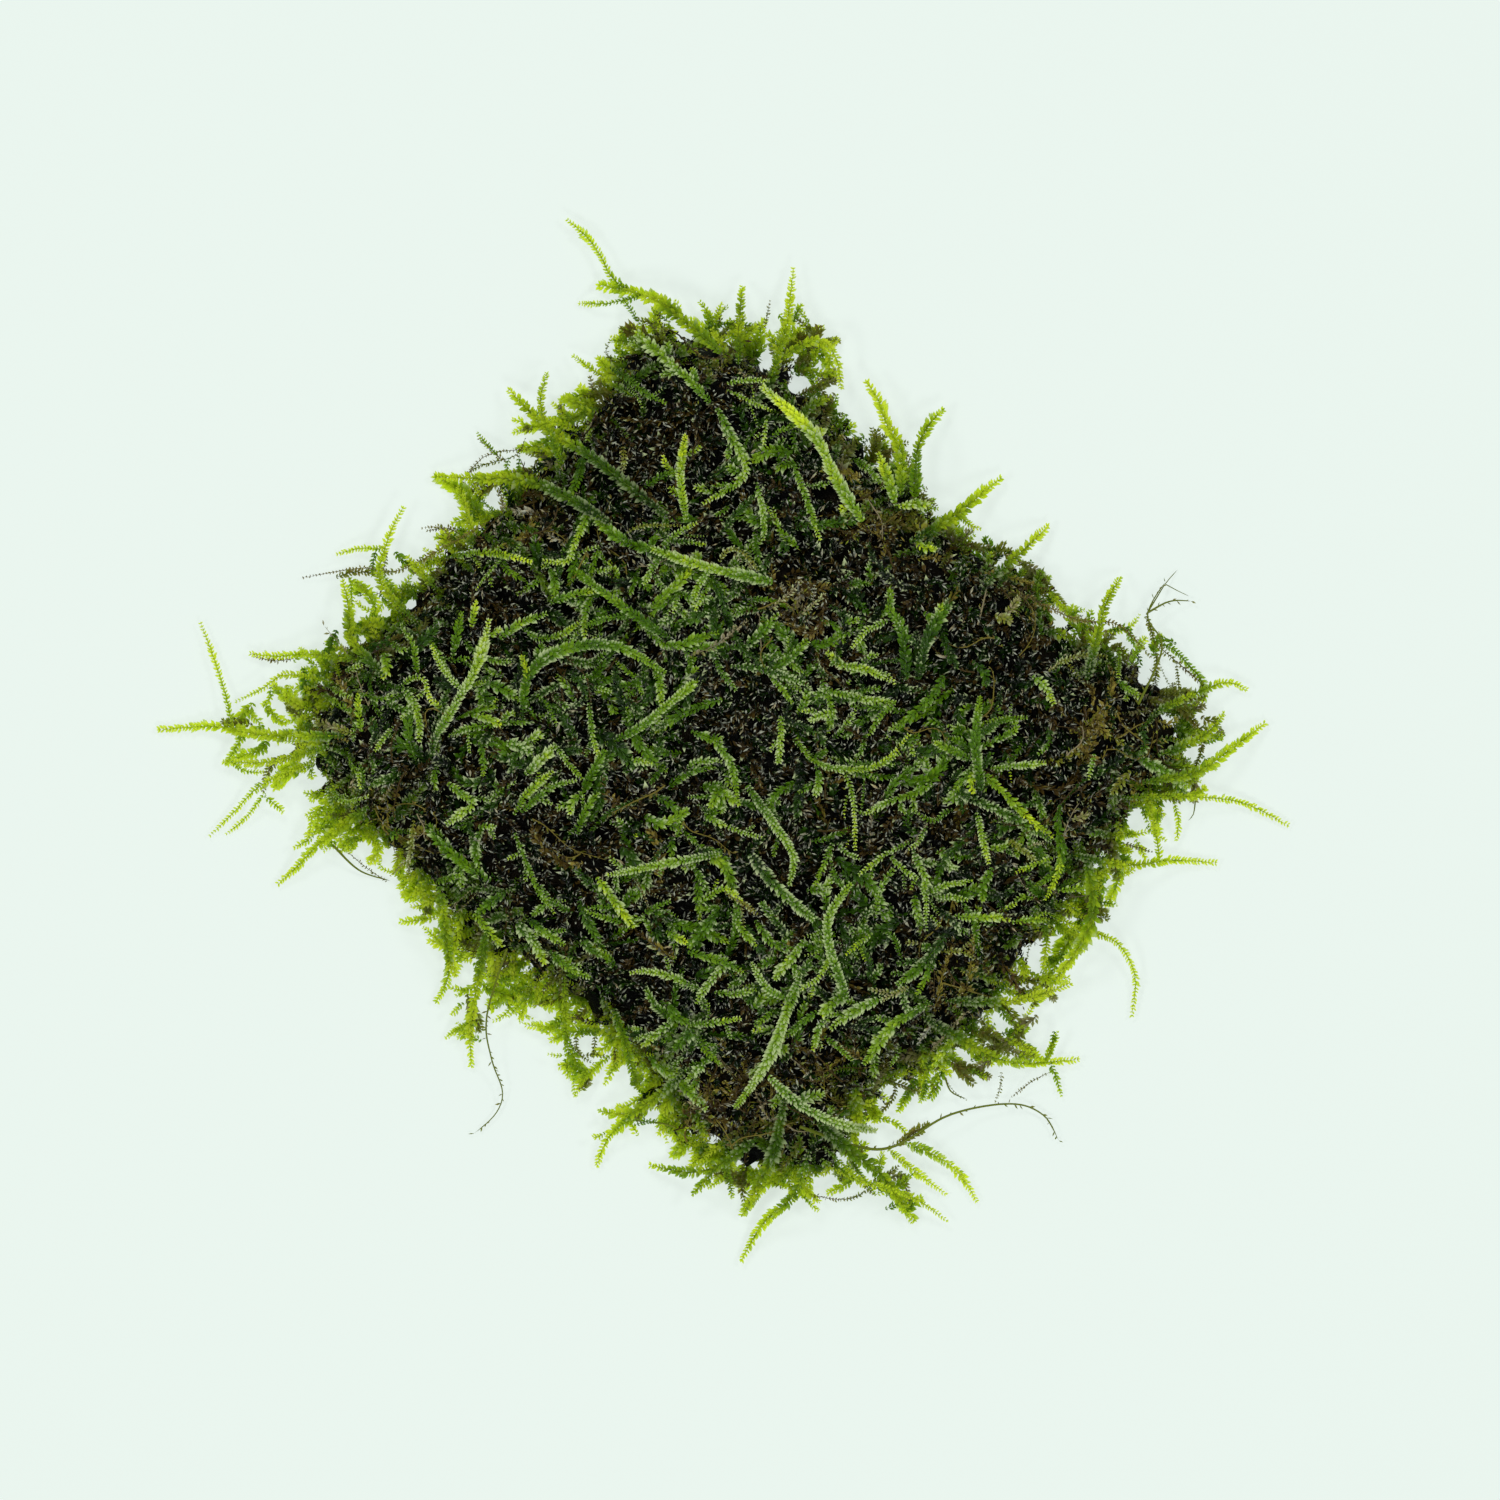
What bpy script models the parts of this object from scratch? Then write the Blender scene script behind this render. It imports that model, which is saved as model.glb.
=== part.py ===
"""Java moss: a square pad of matted old growth, with leafy shoots round its rim and over its top.

The pad lies on its flat underside, at z = 0, and is seen from above with +X to the right and +Y up. Its
corners point along X and Y. Every size in this file is in millimetres until the meshes are made, in metres.
"""

import math

import bmesh
import bpy
from mathutils import Matrix, Vector, noise
from mathutils.bvhtree import BVHTree

MM = 0.001

# The mat, between its four corners. Each side runs through the points where the dark tangle ends.
LEFT_CORNER = (-55, 0.5)
TOP_CORNER = (-7, 55)
RIGHT_CORNER = (61, -1)
BOTTOM_CORNER = (12, -57.5)
UPPER_LEFT_SIDE = [(-50, 11.5), (-42, 19), (-36, 25), (-28.5, 32), (-21.5, 39.5), (-15.5, 47), (-12.5, 51.5)]
UPPER_RIGHT_SIDE = [
    (-1, 53.5), (5, 52.5), (12, 50.5), (14.5, 44.5), (18.5, 40), (23, 35),
    (28, 28), (33, 25.5), (40, 21.5), (44, 14.5), (51.5, 11.5), (57.5, 7.5),
]
LOWER_RIGHT_SIDE = [
    (59, -5), (54, -10), (50.5, -16.5), (48, -23), (42.5, -28.5), (36.5, -35.5),
    (28.5, -40.5), (22.5, -44.5), (18, -51), (16.5, -55),
]
LOWER_LEFT_SIDE = [
    (4.5, -57), (-3, -54.5), (-7.5, -49.5), (-10.5, -44), (-16.5, -37.5), (-22.5, -33),
    (-28.5, -30), (-35, -25), (-41, -18), (-48, -12), (-52.5, -6.5),
]
MAT_SIDE = 80.0
MAT_CELLS = 28  # cells along each side
CROWN_HEIGHT = 13.0
SHOULDER_HEIGHT = 7.5
RIM_HEIGHT = 2.2
SHOULDER_WIDTH = 9.0  # from the rim to where the mat stops rising steeply
CROWN_WIDTH = 38.0
FOOT_INSET = 1.8  # how far the underside stays behind the rim
LUMP_SIZES = ((8.5, 2.0), (3.8, 1.1))  # spacing and height of the lumps
RIM_LUMPS = 0.35  # of the lumps' height, at the rim
RAGGED_SIZES = ((5.0, 1.5),)  # spacing and depth of the ragged rim
RAGGED_ELSEWHERE = Vector((50, 0, 0))  # where the same bumps give the other direction

# Tufts of short growth, fused with the mat
RIM_TUFT_CELLS = 2  # cells between tufts round the rim
TOP_TUFT_CELLS = 5  # cells between tufts over the top
TUFT_LENGTH = 6.5
TUFT_SPREAD = 3.5  # how much longer or shorter a tuft can be
TUFT_WIDTHS = (1.7, 1.9, 0.95)  # root, middle, tip
TUFT_MIDDLE = 0.55  # of its length
TUFT_ROOT = 3.0  # how far its root lies inside the mat
TUFT_TURN = math.radians(55)  # how far it can turn aside
TUFT_DROP = 0.1  # of its length
TUFT_FLOOR_GAP = 0.9
LOW_TUFT_HEIGHT = 1.7
HIGH_TUFT_HEIGHT = 3.3
RIM_TUFT_SLOPE = -0.04
TOP_TUFT_LENGTH = 9.5
TOP_TUFT_SLOPE = 0.32
TOP_TUFT_DEPTH = 0.3  # how far its root lies under the surface
TURN_SPACING = 2.7  # how far apart two places turn independently
TURN_CONTRAST = 1.8  # how often a turn is nearly the full one

# A shoot's section is a lens, and its edge is saw-toothed by the leaves.
STATION_STEP = 1.75  # along a shoot, one leaf tip or one notch
NOTCH = 0.66  # a notch's width over a leaf tip's
THICKNESS_SHARE = 0.5  # of the width
TOUCHING_GAP = 0.3
FLOOR_GAP = 0.35
SAG = 0.11  # how far a shoot bends down between its neighbours, over two steps
STIFFENING_ROUNDS = 40
DROOP = 1.8  # how soon a rim shoot comes down to its tip's height; 1 is a straight line
ROOT_WIDTH = 0.7  # of the widest
TIP_WIDTH = 0.35
ROOT_TAPER = 2.5  # how fast the width grows from the root, over the whole length
TIP_TAPER = 2.2
TIP_REACH = 0.8  # how far the point lies past the last leaves, of their width
LOOKED_AT_ALONG = (-0.95, -0.6, -0.3, 0, 0.3, 0.6, 0.95)  # places under a station, in steps
LOOKED_AT_ASIDE = (-0.6, -0.3, 0, 0.3, 0.6)  # in widths
ABOVE_ALL = 100

# Rim shoots, clockwise from the left corner: width, height of the tip, route from root to tip, side branches.
# A side branch is its width, the height of its tip and its route.
RIM_SHOOTS = [
    (1.6, 0.9, [(-48, 0.5), (-58.3, 0.6), (-64.1, 1.7), (-71.5, 1.3)],
     [(1.0, 1.2, [(-62.4, 1.3), (-63.2, 5.5), (-64.7, 10.2), (-66.4, 14.7)])]),
    (0.9, 1.0, [(-49.5, 7.2), (-55.5, 8.3), (-58.5, 6.5), (-61.8, 4.9)], []),
    (1.3, 1.4, [(-45.5, 10), (-52.5, 10.9), (-56.6, 10.6), (-60, 10.9)], []),
    (1.5, 1.8, [(-43, 8), (-47.1, 12.5), (-47.6, 16.5), (-48.3, 20)], []),
    (1.2, 1.2, [(-39, 15), (-43.6, 20), (-42.6, 25.5), (-40.8, 29.3)],
     [(0.8, 0.8, [(-42.9, 24.2), (-46.2, 24.3), (-49, 23.6)])]),
    (1.9, 1.6, [(-14.2, 27.3), (-19, 30.2), (-24.1, 32.6), (-29.5, 33.1), (-36.4, 33.4)], []),
    (1.7, 2.6, [(-7.4, 28.4), (-13.8, 33.5), (-18, 36.7), (-22, 39.1), (-27.2, 44.3)], []),
    (1.2, 2.4, [(-20.5, 35), (-23.2, 42), (-22.5, 46.4)], []),
    (1.2, 2.0, [(-11.5, 43.5), (-15.6, 46.2), (-19, 48.6)], []),
    (2.0, 1.6, [(-0.3, 49), (-5.7, 53.6), (-8.4, 55.7), (-12.2, 57), (-15.6, 57.7)],
     [(1.2, 2.2, [(-11.6, 56.8), (-14.2, 58.6), (-15.6, 61.3), (-17.4, 63.8), (-19.8, 65.9)]),
      (0.9, 0.8, [(-10.5, 56.4), (-14.5, 55.4), (-18.2, 55.4)])]),
    (1.4, 2.0, [(1.8, 47.5), (2, 53), (2.3, 57.4)], []),
    (1.3, 2.4, [(6, 46), (8, 53), (8.5, 57), (8.8, 59.7)], []),
    (1.4, 1.0, [(7.5, 48.5), (11.5, 50.6), (14.2, 48.6), (14.8, 44.8)], []),
    (1.7, 2.2, [(22.4, 31), (22.3, 36.6), (20.5, 40.4), (19.7, 42.9), (18.2, 45.2)], []),
    (1.6, 2.6, [(24.2, 30), (24.4, 36), (25.6, 39.4), (27.6, 41.7)], []),
    (1.9, 2.0, [(23.5, 25), (28.5, 27.9), (32.4, 31), (35, 33.1)],
     [(1.1, 1.0, [(29.6, 28.8), (31.2, 27.2), (32.4, 26.8)])]),
    (1.5, 1.6, [(33, 19.8), (37.3, 23.4), (41, 27)], []),
    (1.5, 2.0, [(46, 7.5), (47.4, 13.5), (48.5, 17.4), (50.2, 20.4)], []),
    (1.3, 1.4, [(54, 3.2), (60, 6), (63.8, 7.3), (66.2, 6.4)], []),
    (1.5, 1.0, [(55, -2), (60.5, 0.2), (63.4, 3.2)], []),
    (1.5, 1.2, [(53, -5.4), (59.7, -4.2), (64, -1.4), (68.5, 2)], []),
    (1.1, 0.9, [(50, -7.3), (57.9, -7.2), (65.5, -7.9), (71.5, -10.8)], []),
    (1.4, 1.0, [(43.5, -14.5), (51, -15.9), (56.6, -15.3), (62.3, -15.6)],
     [(1.2, 1.2, [(55.4, -15.4), (54.9, -12.6), (54.4, -10.2)])]),
    (1.0, 1.0, [(40.5, -21.8), (46, -24.2), (49.9, -25.8), (52.2, -30), (51.8, -34.9)], []),
    (2.0, 2.4, [(46, -15.5), (46.8, -21.5), (45.2, -26), (41.6, -31)], []),
    (1.4, 1.0, [(28, -33), (35.7, -33.2), (39.9, -32.4), (43.8, -31)], []),
    (1.7, 1.2, [(25, -35), (31, -38.4), (36.5, -41), (44.8, -40.6)],
     [(0.9, 1.8, [(40.6, -41.1), (41.6, -39), (42.3, -37.2)]),
      (0.8, 0.7, [(41.4, -41), (42.2, -43), (42.8, -45.1)])]),
    (1.9, 1.0, [(11.5, -48), (16.3, -52.4), (18.8, -54), (21.5, -57.2), (24.1, -60.8)], []),
    (1.0, 1.6, [(12.5, -51.5), (17.5, -55.8), (23.5, -57.8), (28.2, -61)], []),
    (1.4, 1.2, [(10.8, -52), (8.9, -57.6), (5, -61.3), (2.3, -65.9)], []),
    (1.9, 1.4, [(7.6, -45.5), (6.4, -51.8), (4.3, -56.6), (2.4, -60.2)], []),
    (1.6, 1.2, [(4.2, -50.5), (-0.3, -53.8), (-4.5, -54.9), (-9.2, -54)],
     [(1.2, 0.9, [(-1, -54), (-2.4, -56), (-3.9, -57.5)]),
      (1.0, 1.4, [(-0.1, -53.5), (0.7, -56), (1, -58)])]),
    (1.5, 1.2, [(-5, -42.2), (-9.5, -46.1), (-12.5, -47.5), (-15.8, -47.1)],
     [(1.1, 0.9, [(-11.4, -47.2), (-14.8, -50.7), (-16.1, -53.9)])]),
    (1.5, 2.6, [(-14, -34), (-12.3, -39.1), (-11, -44.2)], []),
    (1.0, 1.2, [(-20.2, -30), (-20.1, -37.1), (-19.4, -41.1), (-18.9, -45.1)], []),
    (1.6, 1.0, [(-30, -24), (-31.3, -31), (-32.2, -36.5), (-32.1, -41.3)],
     [(0.9, 1.0, [(-32.1, -35.8), (-34, -36.8), (-35.2, -37.8)])]),
    (1.5, 1.0, [(-36, -18.5), (-35.2, -25.5), (-35, -30), (-36.4, -33.1)], []),
    (1.3, 1.0, [(-45, -8.5), (-51.1, -13), (-54, -15.9), (-56.5, -18.2)], []),
    (1.0, 0.8, [(-52, -2.6), (-58.8, -5.8), (-62, -9), (-65.2, -12.1)], []),
    (1.3, 1.8, [(-50, -0.8), (-57.5, -2.8), (-63.4, -2.8)], []),
]

# Top shoots, from the left: width, how far the middle is lifted, route from root to tip, side branches.
# A side branch is its width, how far its middle is lifted and its route.
TOP_SHOOTS = [
    (1.6, 1.4, [(-36.4, 0.6), (-33.5, 5.3), (-31, 10), (-29.8, 15)],
     [(1.1, 1.0, [(-33, 6.2), (-35.4, 8.6), (-37, 11.8)])]),
    (1.7, 3.2, [(-25.5, 2.6), (-24.6, 8.3), (-20, 11.5), (-13.6, 11.8), (-7.7, 8.6)], []),
    (1.7, 1.6, [(-14, -0.2), (-10.3, 1.8), (-6.8, 4.7), (-2.8, 7.9)], []),
    (1.6, 1.8, [(-6.5, 12.6), (-12.2, 16.4), (-18.9, 21.4)],
     [(1.2, 0.8, [(-11.5, 15.8), (-14.6, 15.4), (-17.6, 14.4)])]),
    (1.8, 1.6, [(6.2, 20), (0.8, 21.1), (-4.4, 22.5), (-9.2, 24.2)],
     [(1.1, 1.0, [(-1.6, 21.6), (-3.2, 19.6), (-4, 17.2)])]),
    (1.5, 1.8, [(-4.8, 27.8), (-5.5, 33.5), (-4.9, 38.4)], []),
    (2.1, 2.4, [(17.6, 27.6), (14, 33.3), (11.4, 38.5), (5, 44.6)], []),
    (1.5, 1.4, [(2.9, -5.8), (6.3, -10.6), (8.8, -14.7), (8.3, -18.2)], []),
    (1.4, 1.4, [(-0.4, -14.4), (-6.4, -15.5), (-14.5, -17.1)], []),
    (1.9, 1.6, [(24.5, 7.6), (25.8, 12.8), (28.6, 17.4)],
     [(1.3, 1.2, [(25.3, 11.4), (22.8, 13.4), (21.4, 16.2)])]),
    (1.7, 1.6, [(32.6, -6.5), (31.8, -0.5), (32.4, 5.2)],
     [(1.2, 1.0, [(31.9, 0.4), (35.2, 2.4), (38.2, 2.8)])]),
    (1.6, 1.4, [(15.7, -33.2), (13.4, -26.3), (13.3, -22.4), (15.9, -18.4)], []),
    (1.8, 2.0, [(9.6, -29.8), (7.6, -35.5), (5.5, -40.8), (1.6, -46.4)],
     [(1.3, 1.4, [(8.4, -33), (5.4, -31.4), (3.6, -28.4)])]),
    (1.7, 2.4, [(5.6, -42.6), (9.8, -46.3), (14.6, -48.6), (19.2, -49.6)], []),
]

# Brown stems, without living leaves: width, height of the tip, route from root to tip, side branches.
BROWN_STEMS = [
    (0.9, 0.8, [(-30, 27.6), (-36.4, 23.9), (-41.5, 21.4), (-46, 21.8), (-53.3, 20.6)],
     [(0.7, 1.2, [(-34.6, 24.9), (-35.6, 26.9), (-38.2, 26.9)])]),
    (1.0, 1.4, [(37.5, 18.6), (44.5, 15.3), (50, 14.6), (54, 10.6)], []),
]

# Runners: the same, thinner and longer.
RUNNERS = [
    (0.7, 1.6, [(52.5, 4.5), (55.6, 11.6), (53.8, 15.2), (54.3, 17.4), (56, 20)],
     [(0.6, 1.0, [(53.9, 16.2), (56.6, 17.6), (59.3, 17.6)])]),
    (0.9, 1.0,
     [(9.6, -49), (17.5, -51.7), (22, -51.4), (28.6, -47.6), (36.3, -46.2), (40.5, -47.6), (42.5, -50.9)],
     [(1.3, 0.9, [(23, -51), (27.6, -53.2), (30.2, -55.5), (32, -58.5)]),
      (1.0, 0.7, [(20.6, -51.7), (24, -54.6), (28, -57.6)])]),
    (0.6, 0.6,
     [(-27.5, -26.5), (-30.1, -35.1), (-29.5, -40.5), (-28.1, -44.7), (-29, -47.5), (-31.7, -50)], []),
]

# Colours, as seen from a step away
MAT_COLOUR = (0.012, 0.016, 0.008)
RIM_COLOUR = (0.22, 0.38, 0.02)
TOP_COLOUR = (0.07, 0.21, 0.02)
BROWN_COLOUR = (0.09, 0.05, 0.02)
WET_ROUGHNESS = 0.35


def clear_scene():
    for thing in list(bpy.data.objects):
        bpy.data.objects.remove(thing)


def moss_material(name, colour):
    material = bpy.data.materials.new(name)
    material.use_nodes = True
    shader = material.node_tree.nodes["Principled BSDF"]
    shader.inputs["Base Color"].default_value = (*colour, 1)
    shader.inputs["Roughness"].default_value = WET_ROUGHNESS
    shader.inputs["Metallic"].default_value = 0
    return material


def smooth_curve(points):
    """Many points along a smooth curve through the given ones."""
    steps = 16
    points = [Vector(point) for point in points]
    curve = []
    for i in range(len(points) - 1):
        before = points[max(i - 1, 0)]
        start = points[i]
        end = points[i + 1]
        after = points[min(i + 2, len(points) - 1)]
        for step in range(steps):
            t = step / steps
            curve.append(
                start
                + (end - before) * (t / 2)
                + (before * 2 - start * 5 + end * 4 - after) * (t * t / 2)
                + (start * 3 - before - end * 3 + after) * (t**3 / 2)
            )
    return curve + [points[-1]]


def evenly_spaced(curve, count):
    """The given number of points along a curve, all the same distance apart."""
    reached = [0.0]
    for here, there in zip(curve, curve[1:]):
        reached.append(reached[-1] + (there - here).length)
    spaced = []
    span = 0
    for i in range(count):
        wanted = reached[-1] * i / (count - 1)
        while span < len(curve) - 2 and reached[span + 1] < wanted:
            span += 1
        share = (wanted - reached[span]) / (reached[span + 1] - reached[span])
        spaced.append(curve[span].lerp(curve[span + 1], share))
    return spaced


def rough(place, sizes):
    """Summed bumps of the given spacings and heights at a place."""
    return sum(height * noise.noise(place / spacing) for spacing, height in sizes)


def ease(share):
    """Rises from 0 to 1, steeply at first and level at the end."""
    return 1 - (1 - min(share, 1)) ** 2


class Rim:
    """The mat's outline as four sides that meet at its corners, blended across the inside."""

    def __init__(self):
        count = MAT_CELLS + 1
        self.upper_left = self.side(LEFT_CORNER, UPPER_LEFT_SIDE, TOP_CORNER, count)
        self.upper_right = self.side(TOP_CORNER, UPPER_RIGHT_SIDE, RIGHT_CORNER, count)
        self.lower_right = self.side(BOTTOM_CORNER, LOWER_RIGHT_SIDE[::-1], RIGHT_CORNER, count)
        self.lower_left = self.side(LEFT_CORNER, LOWER_LEFT_SIDE[::-1], BOTTOM_CORNER, count)

    @staticmethod
    def side(start, between, end, count):
        return evenly_spaced(smooth_curve([start, *between, end]), count)

    def place(self, column, row):
        """Where a grid point lies: columns run from the left corner to the top, rows to the bottom."""
        across = column / MAT_CELLS
        down = row / MAT_CELLS
        along_rows = self.upper_left[column].lerp(self.lower_right[column], down)
        along_columns = self.lower_left[row].lerp(self.upper_right[row], across)
        left, top = Vector(LEFT_CORNER), Vector(TOP_CORNER)
        bottom, right = Vector(BOTTOM_CORNER), Vector(RIGHT_CORNER)
        corners = left.lerp(top, across).lerp(bottom.lerp(right, across), down)
        return along_rows + along_columns - corners


def mat_height(place, inside):
    """The tangle's height at a place that is this far inside the rim."""
    shoulder = ease(inside / SHOULDER_WIDTH)
    crown = ease(inside / CROWN_WIDTH)
    height = RIM_HEIGHT + (SHOULDER_HEIGHT - RIM_HEIGHT) * shoulder + (CROWN_HEIGHT - SHOULDER_HEIGHT) * crown
    return height + rough(place.to_3d(), LUMP_SIZES) * (RIM_LUMPS + (1 - RIM_LUMPS) * shoulder)


def build_mat(rim):
    """A lumpy grid for the top, extruded down at its rim and closed by a flat underside."""
    grid = bmesh.new()
    bmesh.ops.create_grid(grid, x_segments=MAT_CELLS, y_segments=MAT_CELLS, size=MAT_CELLS / 2)
    for vertex in grid.verts:
        column = round(vertex.co.x + MAT_CELLS / 2)
        row = round(MAT_CELLS / 2 - vertex.co.y)
        to_rim = min(column, row, MAT_CELLS - column, MAT_CELLS - row)
        inside = to_rim * MAT_SIDE / MAT_CELLS
        place = rim.place(column, row)
        here = place.to_3d()
        ragged = Vector((rough(here, RAGGED_SIZES), rough(here + RAGGED_ELSEWHERE, RAGGED_SIZES)))
        place += ragged / (1 + inside)
        vertex.co = (*place, mat_height(place, inside))
    edge = [line for line in grid.edges if line.is_boundary]
    extruded = bmesh.ops.extrude_edge_only(grid, edges=edge)["geom"]
    foot = [item for item in extruded if isinstance(item, bmesh.types.BMVert)]
    centre = sum((vertex.co for vertex in foot), Vector()) / len(foot)
    for vertex in foot:
        inward = (centre - vertex.co).to_2d().normalized() * FOOT_INSET
        vertex.co = (vertex.co.x + inward.x, vertex.co.y + inward.y, 0)
    bmesh.ops.holes_fill(grid, edges=[line for line in grid.edges if line.is_boundary], sides=0)
    bmesh.ops.triangulate(grid, faces=grid.faces[:])
    bmesh.ops.recalc_face_normals(grid, faces=grid.faces[:])
    return grid


def turned(place, amount):
    """Up to this amount either way, which depends on the place alone."""
    spot = place.to_3d() / TURN_SPACING + Vector((0, 0, 7))
    return amount * max(-1, min(1, TURN_CONTRAST * noise.noise(spot)))


def tuft(root, way, length):
    """One tuft, from inside the mat to its point, which hangs a little but stays off the floor."""
    middle = root + way * length * TUFT_MIDDLE
    tip = root + way * length
    tip.z = max(tip.z - TUFT_DROP * length, TUFT_FLOOR_GAP)
    return sweep([root, middle, tip], TUFT_WIDTHS)


def rim_tufts(rim):
    """Tufts that point outwards all round the rim, one low and one high by turns."""
    last = MAT_CELLS
    steps = range(0, last, RIM_TUFT_CELLS)
    round_the_rim = [(i, 0) for i in steps] + [(last, i) for i in steps]
    round_the_rim += [(last - i, last) for i in steps] + [(0, last - i) for i in steps]
    tufts = []
    for number, (column, row) in enumerate(round_the_rim):
        edge = rim.place(column, row)
        inner = rim.place(min(max(column, 1), last - 1), min(max(row, 1), last - 1))
        outwards = (edge - inner).normalized()
        height = LOW_TUFT_HEIGHT if number % 2 else HIGH_TUFT_HEIGHT
        root = (edge - outwards * TUFT_ROOT).to_3d() + Vector((0, 0, height))
        outwards.rotate(Matrix.Rotation(turned(edge, TUFT_TURN), 2))
        length = TUFT_ROOT + TUFT_LENGTH + turned(inner, TUFT_SPREAD)
        tufts.append(tuft(root, Vector((*outwards, RIM_TUFT_SLOPE)).normalized(), length))
    return tufts


def top_tufts(rim):
    """Tufts that rise slantwise out of the top."""
    tufts = []
    for column in range(TOP_TUFT_CELLS // 2 + 1, MAT_CELLS - 1, TOP_TUFT_CELLS):
        for row in range(TOP_TUFT_CELLS // 2 + 1, MAT_CELLS - 1, TOP_TUFT_CELLS):
            place = rim.place(column, row)
            to_rim = min(column, row, MAT_CELLS - column, MAT_CELLS - row)
            height = mat_height(place, to_rim * MAT_SIDE / MAT_CELLS)
            turn = turned(place, 2 * math.pi)
            root = Vector((*place, height - TOP_TUFT_DEPTH))
            way = Vector((math.cos(turn), math.sin(turn), TOP_TUFT_SLOPE)).normalized()
            tufts.append(tuft(root, way, TOP_TUFT_LENGTH + turned(place.yx, TUFT_SPREAD)))
    return tufts


def height_below(x, y, laid):
    """The highest surface under a point, of the floor and what already lies there."""
    highest = 0.0
    for tree in laid:
        hit = tree.ray_cast(Vector((x, y, ABOVE_ALL)), Vector((0, 0, -1)))[0]
        if hit:
            highest = max(highest, hit.z)
    return highest


def resting_heights(places, widths, laid):
    """How high the middle of a shoot has to be at each of its stations to lie on what is below."""
    needed = []
    for i, place in enumerate(places):
        way = (places[min(i + 1, len(places) - 1)] - places[max(i - 1, 0)]).normalized()
        across = Vector((-way.y, way.x))
        highest = 0.0
        for along in LOOKED_AT_ALONG:
            for aside in LOOKED_AT_ASIDE:
                spot = place + way * along * STATION_STEP + across * aside * widths[i] / NOTCH
                highest = max(highest, height_below(spot.x, spot.y, laid))
        gap = TOUCHING_GAP if highest > 0 else FLOOR_GAP
        needed.append(highest + gap + widths[i] * THICKNESS_SHARE / 2)
    return needed


def stiffened(heights):
    """Raises a shoot where it would bend down more sharply than a stem can."""
    heights = list(heights)
    for _ in range(STIFFENING_ROUNDS):
        for i in range(1, len(heights) - 1):
            heights[i] = max(heights[i], (heights[i - 1] + heights[i + 1]) / 2 - SAG)
    return heights


def shoot_widths(width, count):
    """The width at each station: full in the middle, narrower at both ends, notched at every other one."""
    widths = []
    for i in range(count):
        t = i / (count - 1)
        form = min(ROOT_WIDTH + ROOT_TAPER * t, 1, TIP_WIDTH + TIP_TAPER * (1 - t))
        widths.append(width * form * (1 if i % 2 else NOTCH))
    return widths


def shoot_line(width, route, laid, tip_height=None, lift=0.0, start_height=None):
    """The stations of a shoot in space, and its width at each.

    It comes down to its tip's height where one is given, and else lies on what is below, arched by its lift.
    """
    curve = smooth_curve(route)
    length = sum((there - here).length for here, there in zip(curve, curve[1:]))
    count = max(round(length / STATION_STEP), 3) + 1
    places = evenly_spaced(curve, count)
    widths = shoot_widths(width, count)
    needed = resting_heights(places, widths, laid)
    first = needed[0] if start_height is None else start_height
    last = needed[-1] if tip_height is None else max(tip_height, needed[-1])
    heights = []
    for i, rest in enumerate(needed):
        t = i / (count - 1)
        arch = lift * math.sin(math.pi * t)
        free = last + (first - last) * (1 - t) ** DROOP
        heights.append(max(free, rest) + arch)
    if start_height is not None:
        heights[0] = start_height
    heights = stiffened(heights)
    return [Vector((*place, height)) for place, height in zip(places, heights)], widths


def lens_section(place, way, width):
    """The four corners of a shoot's section: left edge, top, right edge, bottom."""
    aside = Vector((-way.y, way.x, 0)).normalized() * (width / 2)
    above = way.cross(aside).normalized() * (-width * THICKNESS_SHARE / 2)
    return [place + aside, place - above, place - aside, place + above]


def sweep(line, widths):
    """A closed body along a line, drawn out section by section and brought to a point at its tip."""
    body = bmesh.new()
    ways = [(line[min(i + 1, len(line) - 1)] - line[max(i - 1, 0)]).normalized() for i in range(len(line))]
    corners = [body.verts.new(corner) for corner in lens_section(line[0], ways[0], widths[0])]
    front = body.faces.new(corners)
    for place, way, width in zip(line[1:], ways[1:], widths[1:]):
        drawn = bmesh.ops.extrude_discrete_faces(body, faces=[front])["faces"]
        front = drawn[0]
        for loop, corner in zip(front.loops, lens_section(place, way, width)):
            loop.vert.co = corner
    tip = line[-1] + ways[-1] * widths[-1] * TIP_REACH
    bmesh.ops.pointmerge(body, verts=front.verts[:], merge_co=tip)
    bmesh.ops.holes_fill(body, edges=[line for line in body.edges if line.is_boundary], sides=0)
    return body


def joined(bodies):
    """One mesh of several bodies."""
    whole = bmesh.new()
    for body in bodies:
        part = bpy.data.meshes.new("part")
        body.to_mesh(part)
        body.free()
        whole.from_mesh(part)
        bpy.data.meshes.remove(part)
    return whole


def as_object(name, body, material):
    """A Blender object in metres from a body in millimetres."""
    bmesh.ops.triangulate(body, faces=body.faces[:])
    bmesh.ops.recalc_face_normals(body, faces=body.faces[:])
    bmesh.ops.scale(body, vec=(MM, MM, MM), verts=body.verts[:])
    mesh = bpy.data.meshes.new(name)
    body.to_mesh(mesh)
    body.free()
    mesh.materials.append(material)
    thing = bpy.data.objects.new(name, mesh)
    bpy.context.scene.collection.objects.link(thing)
    return thing


def grow_together(stem, branch):
    """Makes one closed body of a stem, or the mat, and what grows out of it."""
    branch.hide_render = True
    branch.display_type = "WIRE"
    union = stem.modifiers.new(branch.name, "BOOLEAN")
    union.operation = "UNION"
    union.solver = "EXACT"
    union.use_self = True
    union.object = branch


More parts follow.
